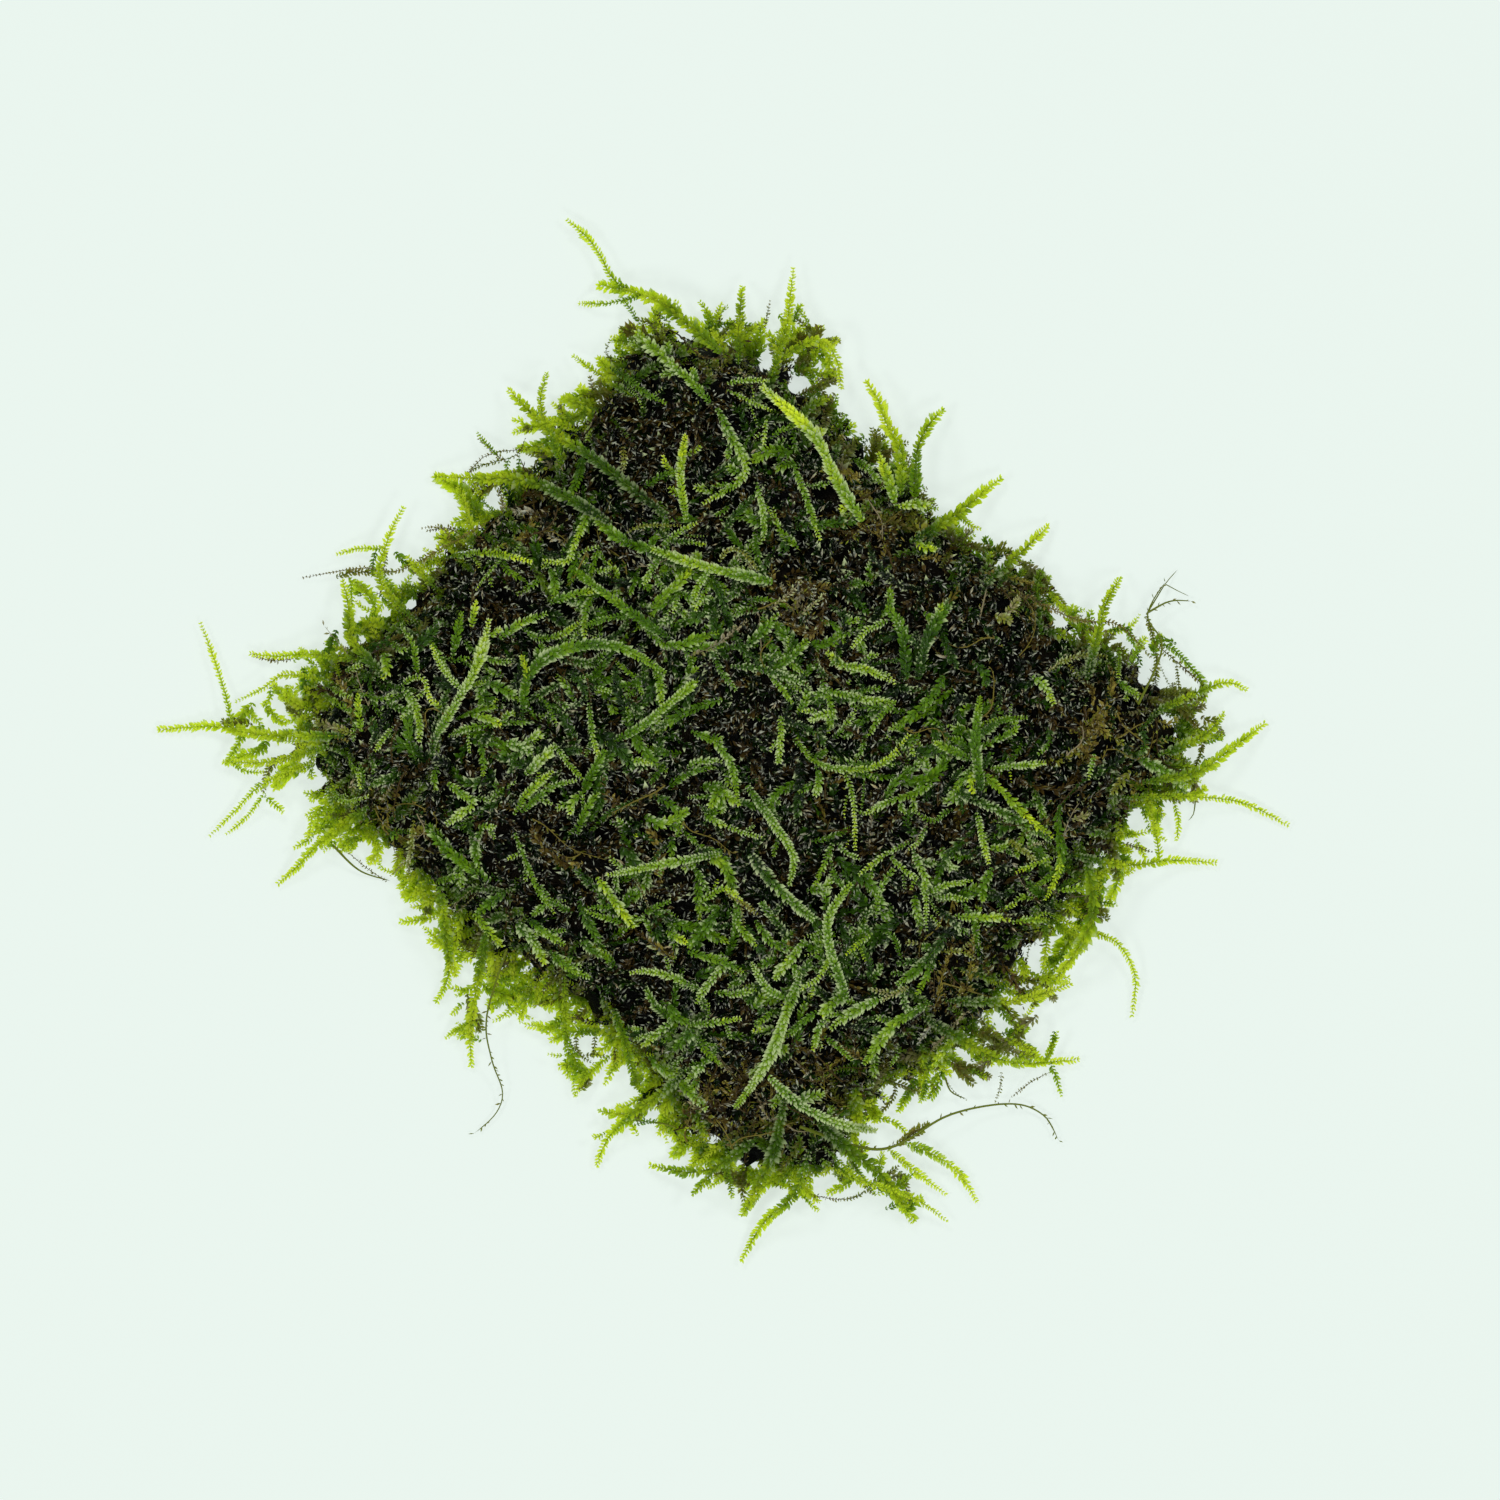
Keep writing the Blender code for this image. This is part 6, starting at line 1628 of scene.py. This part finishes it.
    ("fresh", 0.4, 1.8, (-9.2, 16.7), (-6.5, 19.1), (-4.4, 21.3)),
    ("green", 0.4, 1.3, (12.2, 15.2), (13.9, 14.5), (15.1, 12.6)),
    ("tan", 0, 0.9, (-4.4, 10.6), (-0.9, 12.1), (2.9, 15)),
    ("green", 0.1, 2, (23.1, 7.6), (22.9, 11), (22.5, 14.1), (20.9, 16.6)),
    ("green", 0.6, 1.3, (25.3, 16.1), (27, 15.1), (27.5, 17)),
    ("deep", 0.2, 1.5, (27.7, 15.8), (28, 12.4), (29.4, 9.3)),
    ("olive", 0.5, 0.9, (40.8, 8.5), (43.3, 10.1), (45.9, 10.7), (48.4, 10.5)),
    ("fresh", 0.7, 1, (50.1, 11.7), (50, 7.6)),
    ("fresh", 0.3, 1.2, (51.3, 9.5), (52.5, 11.5), (53.5, 12.9)),
    ("olive", 0.3, 1.5, (34.3, 15.8), (36.2, 15.1)),
    ("green", 0.5, 1, (5.5, 8.5), (7, 6.8), (8.5, 4.9)),
    ("green", 0.05, 1.7, (27.9, 8.1), (26.4, 5.6), (24.5, 3.7), (22.1, 1.7)),
    ("green", 0.5, 1.1, (21.6, 4.7), (19.6, 2.7), (18.4, 0.8)),
    ("fresh", 0.6, 0.9, (9.2, 0.3), (10.6, -1.9), (12.8, -3.4), (16, -3.8), (19.2, -3.4), (21.3, -1.9),
     (23.3, 0.5)),
    ("green", 0.4, 0.5, (17.7, -3.8), (17.7, -6.5), (17.4, -8.9)),
    ("green", 0.6, 1.1, (11.6, -3.4), (12.1, -5.1), (11.6, -6.8)),
    ("fresh", 1, 1.3, (14, 3.4), (12.6, 3.2), (11.1, 2.5)),
    ("green", 0.6, 1.2, (26.4, -5.5), (24, -6.8), (21.3, -7.7), (18.2, -9.2)),
    ("green", 0.5, 1, (13.8, -13.1), (12.8, -15.5), (11.6, -18.2)),
    ("green", 0.8, 0.9, (14.3, -13.1), (15.5, -14.3), (17, -15)),
    ("green", 0.9, 1, (23.5, -13.1), (21.3, -14), (19.2, -15.5), (17.2, -17)),
    ("green", 0.7, 0.8, (25.7, -10.9), (24.5, -13.1), (23.5, -13.8)),
    ("green", 0.8, 1.1, (24, -14), (24.7, -16), (25.5, -17.5), (25.2, -19.4)),
    ("green", 0.8, 1, (21.1, -15), (22.8, -16.5), (24.3, -17.5)),
    ("green", 1, 1.1, (32, -9.2), (32.5, -11.4), (33, -13.6), (33.5, -15.5)),
    ("green", 0.5, 1.3, (31.5, -2.6), (29.1, -1.4), (26.9, -0.4)),
    ("green", 0.5, 1, (32, -1.2), (34.5, 0), (37.1, 1.5), (35.9, 2.7), (33, 2.2)),
    ("green", 0.6, 1.5, (31.5, -3.4), (30.3, -5.1), (28.9, -6.8)),
    ("fresh", 0.2, 1.3, (31.8, -3.6), (31.3, -5.5), (31.5, -6.5)),
    ("fresh", 0.2, 1.2, (32.8, -4.1), (34.7, -6), (36.9, -8.2), (39.1, -10.4), (41.5, -12.1)),
    ("olive", 0.5, 1, (35.7, -12.6), (37.9, -14), (39.6, -15.5)),
    ("fresh", 0.3, 0.9, (42, -14.8), (39.6, -15.7), (37.1, -16.7)),
    ("fresh", 0.3, 1, (42.5, -12.3), (42.5, -16.2), (40.8, -20.1)),
    ("tan", 0, 0.4, (37.1, -17), (38.1, -18.7), (39.3, -19.9)),
    ("green", 0.9, 1.1, (33.7, -3.6), (36.4, -3.4), (40.5, -2.9)),
    ("fresh", 0.1, 0.4, (35.9, -1.9), (36.2, -4.1), (36.4, -5.3)),
    ("green", 0.1, 1.2, (41, 1.7), (41.3, -0.2), (40, -1.7)),
    ("fresh", 0.7, 1.3, (39.1, 8.1), (40.8, 6.6), (41.7, 4.7)),
    ("deep", 0.1, 1.2, (31.5, 10), (33, 8.5), (33.2, 7.1)),
    ("green", 0.3, 1.5, (34, -16.2), (33, -18.2), (32.8, -20.1)),
    ("green", 0.9, 0.8, (23.5, -0.2), (24, -1.9)),
    ("green", 0.9, 1.3, (49.8, 7.5), (51.3, 6.4), (52.8, 5.4)),
    ("green", 0.9, 0.9, (46.9, -1.8), (46.5, -3.5), (46.2, -4.9)),
    ("green", 0.7, 1.9, (52.8, -2.4), (54.9, -3.5), (57, -4.7), (58.7, -6)),
    ("deep", 0.1, 1, (53, 1.6), (53.4, -0.3), (52.8, -2)),
    ("olive", 0.2, 1.3, (51.5, -3.9), (49.4, -6.6)),
    ("olive", 0.1, 1, (44.1, -10.2), (46.2, -9.4)),
    ("green", 0.05, 2.2, (42.6, -8.2), (42.3, -11.2), (42.8, -13.8), (42.6, -16.7)),
    ("fresh", 0.2, 1, (42.3, -19.2), (44.3, -18.9), (46.2, -18.7)),
    ("fresh", 0.4, 1, (36.5, -23.1), (38.9, -22.8), (41.1, -22.8)),
    ("green", 0.4, 1, (47.9, -11.6), (46.5, -12.1)),
    ("green", 0.8, 1.4, (-18, -6.7), (-19.2, -7.9), (-19.4, -9.1)),
    ("green", 0.5, 1.4, (-0.2, -5.7), (-1, -7.2), (-1.7, -8.4)),
    ("green", 0.6, 1.6, (-10, -9.6), (-8.3, -10.8), (-6.6, -10.1), (-4.9, -9.1)),
    ("green", 0.9, 0.9, (-12.6, -10.8), (-13.4, -10.1)),
    ("green", 0.9, 1.1, (-2.4, -9.3), (-1.2, -10.3), (0, -10.8)),
    ("green", 0.9, 1, (0.2, -10.8), (2.4, -11.8), (4.6, -12.3)),
    ("fresh", 0.3, 0.6, (-11.4, -12.5), (-11.1, -12)),
    ("green", 0.1, 1.3, (-6.6, -12.3), (-6.6, -14.7)),
    ("green", 0.5, 0.9, (-10.2, -22.2), (-8.7, -21.2), (-7, -20.5)),
    ("green", 0.5, 1, (-12.6, -23.2), (-15.1, -22.5), (-17.5, -21.7)),
    ("green", 0.4, 0.9, (-13.6, -21), (-15.5, -21.2), (-17, -21.2)),
    ("green", 0.3, 1.4, (-27.7, -19.5), (-29.4, -20.5), (-31.1, -22)),
    ("fresh", 0.2, 1.3, (-31.6, -22), (-30.1, -23.9), (-28.2, -26.1)),
    ("green", 0.8, 1.8, (-26.2, -23.2), (-24.1, -25.6), (-22.8, -28.1)),
    ("green", 0.4, 1.2, (-24.8, -22.7), (-22.6, -24.4), (-20.4, -25.9)),
    ("green", 0.7, 1.3, (-22.1, -26.8), (-19.9, -28.8), (-17.2, -30)),
    ("silver", 0, 0.8, (-24.8, -14.9), (-22.8, -15.4)),
    ("silver", 0, 0.6, (-32.1, -12.3), (-30.1, -13.5)),
    ("green", 0.2, 2.2, (-0.5, -21.2), (-1.9, -23.2), (-3.4, -24.9), (-4.4, -25.9)),
    ("fresh", 0.3, 1.4, (-7.3, -24.2), (-4.9, -25.6)),
    ("green", 0.5, 1.3, (-4.6, -26.8), (-1.9, -27.6), (0.5, -28.3), (2.2, -29.3)),
    ("green", 0.8, 1.2, (0.5, -28.1), (-1.2, -30), (-2.7, -31.9), (-3.4, -33.2)),
    ("green", 0.9, 1.1, (-3.9, -31.2), (-6.8, -30), (-9.5, -29.3), (-11.7, -29.5)),
    ("olive", 0.6, 1, (0.2, -19.3), (2.2, -20.5), (4.1, -22)),
    ("green", 0.6, 1.2, (1.2, -22), (2.2, -23.9), (3.9, -25.9)),
    ("green", 0.5, 1.1, (-1.2, -31.9), (1.2, -32.2), (3.9, -31.7)),
    ("green", 0.2, 1.5, (-7.3, -33.2), (-6.1, -34.9), (-4.4, -36.1)),
    ("green", 0.8, 1, (-4.4, -36.1), (-1.2, -35.8), (1.9, -35.3)),
    ("green", 0.9, 1.3, (-6.8, -35.8), (-8.7, -37.5), (-10.2, -38.7)),
    ("green", 0.4, 1.6, (-3.9, -36.6), (-5.3, -38.3), (-6.1, -39)),
    ("fresh", 0.4, 1, (-11.7, -39), (-10.9, -40.6)),
    ("fresh", 0.8, 0.9, (15.4, -19.6), (13.7, -21.8), (13, -23.7), (13.2, -25.9), (13.2, -27.9),
     (11.8, -30.3), (9.3, -31.8), (7.4, -33.5)),
    ("green", 0.8, 1.9, (10, -25.4), (9.1, -27.1), (7.6, -28.6), (6.6, -30.1)),
    ("green", 0.3, 1.1, (11.8, -34.4), (9.8, -35.9), (7.6, -37.8)),
    ("green", 0.9, 1.2, (12.5, -35.4), (11.8, -37.1), (11.3, -39.1)),
    ("green", 0.9, 1.6, (15.6, -32.2), (13.9, -33.2), (12.5, -34.7)),
    ("green", 0.8, 1.5, (20, -32.7), (17.8, -33.7), (15.6, -34.9), (13.7, -36.4)),
    ("olive", 0.6, 0.9, (23.4, -31.3), (21.5, -32.2), (20, -33)),
    ("fresh", 0.7, 0.8, (18.8, -24.5), (17.1, -25.7), (15.6, -27.1)),
    ("green", 0.3, 1.3, (26.6, -26.7), (25.8, -29.6), (24.6, -32)),
    ("fresh", 0.6, 1.2, (29.2, -22.3), (31.9, -22.5), (34.6, -22.5), (36, -22.8)),
    ("green", 0.9, 1.1, (25.8, -19.4), (28.3, -18.4), (31.2, -17.9)),
    ("green", 0.9, 0.9, (26.3, -19.9), (28.8, -19.9), (30.7, -20.3)),
    ("green", 1, 0.8, (25.4, -17.7), (25.6, -20.1), (25.6, -22.3), (25.7, -24)),
    ("olive", 0.3, 0.8, (27.5, -26.9), (29.5, -26.7), (31.7, -27.6)),
    ("olive", 0.3, 0.8, (24.6, -25.7), (23.2, -25.7)),
    ("fresh", 0.3, 1.2, (30.5, -36.4), (28.8, -38.3), (26.8, -40.8), (25.1, -42.5)),
    ("tan", 0, 0.7, (30.9, -34.4), (29.2, -36.1), (27.5, -38.1), (25.6, -40.3)),
    ("silver", 0.3, 0.8, (27.5, -35.2), (25.8, -36.9), (24.6, -38.6)),
    ("green", 0.6, 0.8, (22.2, -39.5), (21.2, -41.2)),
    ("green", 0.9, 0.9, (5.9, -21.6), (6.4, -23)),
    ("green", 0.5, 0.9, (12.7, -37.6), (14.2, -38.8), (16.1, -40.5)),
    ("green", 0.5, 1.2, (-36.5, -18), (-34.6, -17.5), (-33.2, -17.1)),
    ("green", 0.3, 1.2, (-42.6, -11.4), (-41.6, -12.3)),
    ("tan", 0, 0.3, (-34.8, -21.5), (-33.2, -20.1), (-31.3, -18.4)),
    ("tan", 0, 0.3, (-34.2, -22.2), (-32.5, -20.7), (-31.1, -19.2)),
    ("green", 0.2, 1.2, (-2.9, -38.5), (-1.9, -39.8), (-0.6, -41)),
    ("green", 0.8, 1.4, (-2.5, -41), (-3.6, -42.1), (-4.6, -43.1)),
    ("green", 0.9, 0.9, (-10.3, -36.6), (-11.6, -36.6)),
    ("green", 0.5, 1, (6.3, -34.3), (5.1, -35.3), (4.2, -36.2)),
    ("green", 0.9, 1, (-54.1, 1.3), (-52.7, -0.6), (-50.6, -1.1)),
    ("green", 0.9, 1, (-52.7, -0.6), (-52.4, -2.3), (-52.3, -3.6)),
    ("green", 0.8, 0.9, (-51.9, 6.9), (-50, 5.2), (-48, 4.4)),
    ("green", 0.9, 0.9, (-50.4, -5.4), (-50, -7.3), (-49, -8.5), (-46.3, -8.1)),
    ("green", 0.8, 0.9, (-48, 8.7), (-46, 9.4)),
    ("tan", 0.2, 0.9, (-47, -4.6), (-47.2, -6.6)),
    ("gold", 0.3, 0.9, (-52.6, 1.4), (-50.6, 0.9), (-47.8, -0.1)),
]

# %% Lay the small shoots
SMALL_RIM_HEIGHT = (1.8, 1.4, 0.9)
SMALL_TOP_HEIGHTS = (2.1, 3.3)
SMALL_TOP_ARCH = 0.2  # how much lower the ends lie, of the height
SMALL_TOP_ROLL = 0.25
PALE_MESS = 2.2  # how untidy the leaves lie
GREEN_MESS = 1.3
FROST_GLINT_ORDER = 0.4  # how much less untidy where they carry painted frost glint
HAIR_SHARE = 0.7  # how thick a hair is, of its width in the table
OLD_WIDTH = 0.65  # a shoot narrower than this is an old, thin one
TOP_WIDEST = 1.55
FROST_GLINT_LIFT = 0.10  # how much brighter the tone of a shoot with full painted frost glint is than a plain one
GREEN_LIFT = 0.07  # how much brighter the tone of a shoot with full painted frost glint is than its row says
BARELY_GLINTING = 0.2  # up to here a shoot has no side shoots
SIDE_STEP = 2.4
SIDE_CHANCE = 0.6
SIDE_LENGTHS = (1.4, 3.6)
SIDE_ANGLES = (0.5, 1.1)
SIDE_BEND = 0.5
SIDE_RISES = (0.7, 1.0)
SIDE_WIDTHS = (0.6, 0.9)
SIDE_DARKER = 0.02
YOUNG_ROLL = 0.3


def lay_sides(growth, route, rise, width, tone, frost_glint):
    """Short side shoots along a flat route, to its left and right."""
    stations = walk(route, SIDE_STEP)
    for place, way in zip(stations[1:-1], np.gradient(stations, axis=0)[1:-1]):
        if chance.random() > SIDE_CHANCE:
            continue
        hand = chance.choice((-1, 1))
        heading = math.atan2(way[1], way[0]) + hand * chance.uniform(*SIDE_ANGLES)
        steps = bent_steps(heading, chance.normal() * SIDE_BEND)
        steps = steps * chance.uniform(*SIDE_LENGTHS) / ROUTE_POINTS
        above = np.full(ROUTE_POINTS, rise * chance.uniform(*SIDE_RISES))
        line = over_the_felt(place + np.cumsum(steps, axis=0), above)
        side_width = width * chance.uniform(*SIDE_WIDTHS)
        leafy_shoot(growth, line, side_width, tone - SIDE_DARKER, frost_glint, roll=chance.normal() * YOUNG_ROLL)


bare_growth = Growth()
for tone, width, *points in SMALL_RIM_SHOOTS:
    route = route_through(points)
    above = np.interp(np.linspace(0, 1, len(route)), (0, 0.5, 1), SMALL_RIM_HEIGHT)
    line = over_the_felt(route, above)
    if tone == "hair":
        bare_stem(bare_growth, line, width * HAIR_SHARE, TONES["olive"])
    elif tone == "brown" or width < OLD_WIDTH:
        leafy_shoot(rim_growth, line, width, drawn_tone(("olive", "gold")), OLD_FROST_GLINT, mess=2.0)
    else:
        lit_shoot(rim_growth, line, width, TONES[tone], leaf=FINE_LEAF)
finish_piece("small_rim_shoots", rim_growth, NEW_LEAVES, "bright_shoot")

top_growth = Growth()
for tone, frost_glint, width, *points in SMALL_TOP_SHOOTS:
    route = route_through(points)
    arch = SMALL_TOP_ARCH * np.sin(np.linspace(0, math.pi, len(route)))
    above = chance.uniform(*SMALL_TOP_HEIGHTS) * (1 - SMALL_TOP_ARCH + arch)
    line = over_the_felt(route, above)
    # Painted glint: the more frost glint a green shoot has, the brighter its tone
    lift = GREEN_LIFT + FROST_GLINT_LIFT * (frost_glint - 1) if tone in ("deep", "green") else 0
    leafy_shoot(
        top_growth, line, min(width, TOP_WIDEST), TONES[tone] + lift, frost_glint, leaf=FINE_LEAF,
        mess=PALE_MESS if tone in ("tan", "silver") else GREEN_MESS - FROST_GLINT_ORDER * frost_glint,
        roll=chance.normal() * SMALL_TOP_ROLL,
    )
    if frost_glint > BARELY_GLINTING:
        lay_sides(top_growth, route, above[0], width, TONES[tone] + lift, frost_glint)
for (width, points, *_), (tone, frost_glint) in zip(TOP_SHOOTS, TOP_TONES):
    lay_sides(top_growth, route_through(points), SMALL_TOP_HEIGHTS[0], width, tone, frost_glint)
finish_piece("small_top_shoots", top_growth, GREEN_LEAVES, "green_shoot")
finish_piece("small_bare_stems", bare_growth, BARE_STEMS, "brown_stem")
print("small shoots with", made["small_rim_shoots"], "and", made["small_top_shoots"], "faces")

# %% [markdown]
# ## The filling of the rim
# Between the end of the felt and the rim, and in the clumps, short new shoots lie thick and low on the
# floor, so that they are lit from below. The traced holes stay open.

# %% The filling
FILL_SPACING = 1.45
FILL_REACH = 1.0  # how far it reaches over the felt's edge
FILL_LENGTHS = (2.5, 6.0)
FILL_WIDTHS = (0.9, 1.8)
FILL_HEIGHTS = (0.6, 3.0)
FILL_FAN = 1.1
FILL_BENDS = (0.6, 0.3)

filling = Growth()
reach = np.concatenate([rim_spots, clumps[:, :2] - clumps[:, 2:], clumps[:, :2] + clumps[:, 2:]])
places = moved_grid(reach.min(axis=0), reach.max(axis=0), FILL_SPACING)
nearest, inside = rim_nearest(places)
in_band = (inside > 0) & (inside < felt_edges[rim_sides[nearest]] + FILL_REACH)
in_clump = (np.linalg.norm(places[:, None] - clumps[:, :2], axis=2) < clumps[:, 2]).any(axis=1)
wanted = in_band | in_clump
count = 0
for place, outwards in zip(places[wanted], rim_outwards[nearest[wanted]]):
    heading = math.atan2(outwards[1], outwards[0]) + chance.normal() * FILL_FAN
    route = clear_route(lambda share: wander(place, FILL_LENGTHS, FILL_BENDS, share, heading))
    if route is None:
        continue
    start, end = np.sort(chance.uniform(*FILL_HEIGHTS, 2))[::-1]
    line = np.column_stack([route, np.linspace(start, end, ROUTE_POINTS)])
    lit_shoot(filling, line, chance.uniform(*FILL_WIDTHS), rim_tone(place), roll=chance.normal() * YOUNG_ROLL)
    count += 1
finish_piece("rim_filling", filling, NEW_LEAVES, "bright_shoot")
print("the filling has", count, "shoots with", made["rim_filling"], "faces")

# %% [markdown]
# ## The fringe
# Short new shoots stick out all round the rim at every height, and hide the felt's side. They start a
# little inside the rim, point outwards within a wide fan and droop. The sides at the right have fewer.

# %% The fringe
FRINGE_ROOT = 3.5  # how far inside the rim a shoot starts
FRINGE_FAN = 0.9
FRINGE_BEND = 0.8
FRINGE_LENGTHS = (3.0, 7.0)
FRINGE_WIDTHS = (0.8, 2.0)
FRINGE_STARTS = (1.0, 6.5)  # heights
FRINGE_ENDS = (0.6, 2.8)
FRINGE_DROOP = (1 - ROUTE_SHARES) ** 1.6

fringe = Growth()
for points, density, *_ in SIDES:
    side = walk(smooth_curve(points), 1 / density)
    ways = unit(np.gradient(side, axis=0))
    for place, way in zip(side, ways):
        heading = math.atan2(way[1], way[0]) + math.pi / 2 + chance.normal() * FRINGE_FAN
        root = place - np.array([-way[1], way[0]]) * FRINGE_ROOT
        steps = np.cumsum(bent_steps(heading, chance.normal() * FRINGE_BEND), axis=0) / ROUTE_POINTS
        length = chance.uniform(*FRINGE_LENGTHS)
        route = clear_route(lambda shorter: root + steps * length * shorter)
        if route is None:
            continue
        start = chance.uniform(*FRINGE_STARTS)
        end = chance.uniform(*FRINGE_ENDS)
        line = np.column_stack([route, end + (start - end) * FRINGE_DROOP])
        width = chance.uniform(*FRINGE_WIDTHS)
        lit_shoot(fringe, line, width, rim_tone(place), roll=chance.normal() * YOUNG_ROLL)
finish_piece("fringe", fringe, NEW_LEAVES, "bright_shoot")
print("the fringe has", made["fringe"], "faces")

# %% [markdown]
# ## Loose brown stems
# In the brown patches bare old stems lie crosswise over the tangle, with scraps of dead leaf on them.

# %% Loose brown stems
LOOSE_SPACING = 2.6
LOOSE_LENGTHS = (4, 12)
LOOSE_BENDS = (1, 0.5)
LOOSE_WIDTHS = (0.12, 0.28)
LOOSE_HEIGHTS = (1.0, 2.4)
LOOSE_IN_PATCH = 0.9  # how many of the places get one
LOOSE_ELSEWHERE = 0.03
LOOSE_TONES = ("brown", "gold", "tan")
LOOSE_SHARES = (0.6, 0.25, 0.15)

brown_growth = Growth()
count = 0
for place in scattered(LOOSE_SPACING):
    if chance.random() > nearness(BROWN_PATCHES, *place) * LOOSE_IN_PATCH + LOOSE_ELSEWHERE:
        continue
    route = wander(place, LOOSE_LENGTHS, LOOSE_BENDS)
    above = np.full(ROUTE_POINTS, chance.uniform(*LOOSE_HEIGHTS))
    tone = drawn_tone(LOOSE_TONES, LOOSE_SHARES)
    bare_stem(brown_growth, over_the_felt(route, above), chance.uniform(*LOOSE_WIDTHS), tone, scraps=1.0)
    count += 1
finish_piece("loose_brown_stems", brown_growth, BARE_STEMS, "brown_stem")
print(count, "loose brown stems")

# %% [markdown]
# ## The underside
# Nothing is known of the underside but that it lies flat. It is given pressed old shoots, brown and dark.

# %% The underside
UNDER_SPACING = 5.0
UNDER_WIDTHS = (1.8, 2.6)
UNDER_LENGTHS = (7, 13)
UNDER_BENDS = (0.8, 0.3)
UNDER_HEIGHTS = (0.5, 0.9)
UNDER_TONES = ("black", "dark", "brown", "deep", "gold")
UNDER_SHARES = (0.3, 0.25, 0.25, 0.1, 0.1)

under = Growth()
for place in scattered(UNDER_SPACING):
    route = wander(place, UNDER_LENGTHS, UNDER_BENDS)
    if not all(felt_under(*point)[0] for point in route):
        continue
    line = np.column_stack([route, np.full(ROUTE_POINTS, chance.uniform(*UNDER_HEIGHTS))])
    tone = drawn_tone(UNDER_TONES, UNDER_SHARES)
    leafy_shoot(under, line, chance.uniform(*UNDER_WIDTHS), tone, 0.3, up=-UP, mess=0.7)
finish_piece("underside_shoots", under, OLD_LEAVES, "matted_growth")

# %% [markdown]
# ## Size and pieces
# The dressed pad is meant to fill the same box as the solid model, whose box is printed at the start. At the
# end the pieces and their faces are counted, and the largest piece is named.

# %% Sizes
print(len(made), "pieces with", sum(made.values()), "faces")
print("the largest is", max(made, key=made.get), "with", max(made.values()))
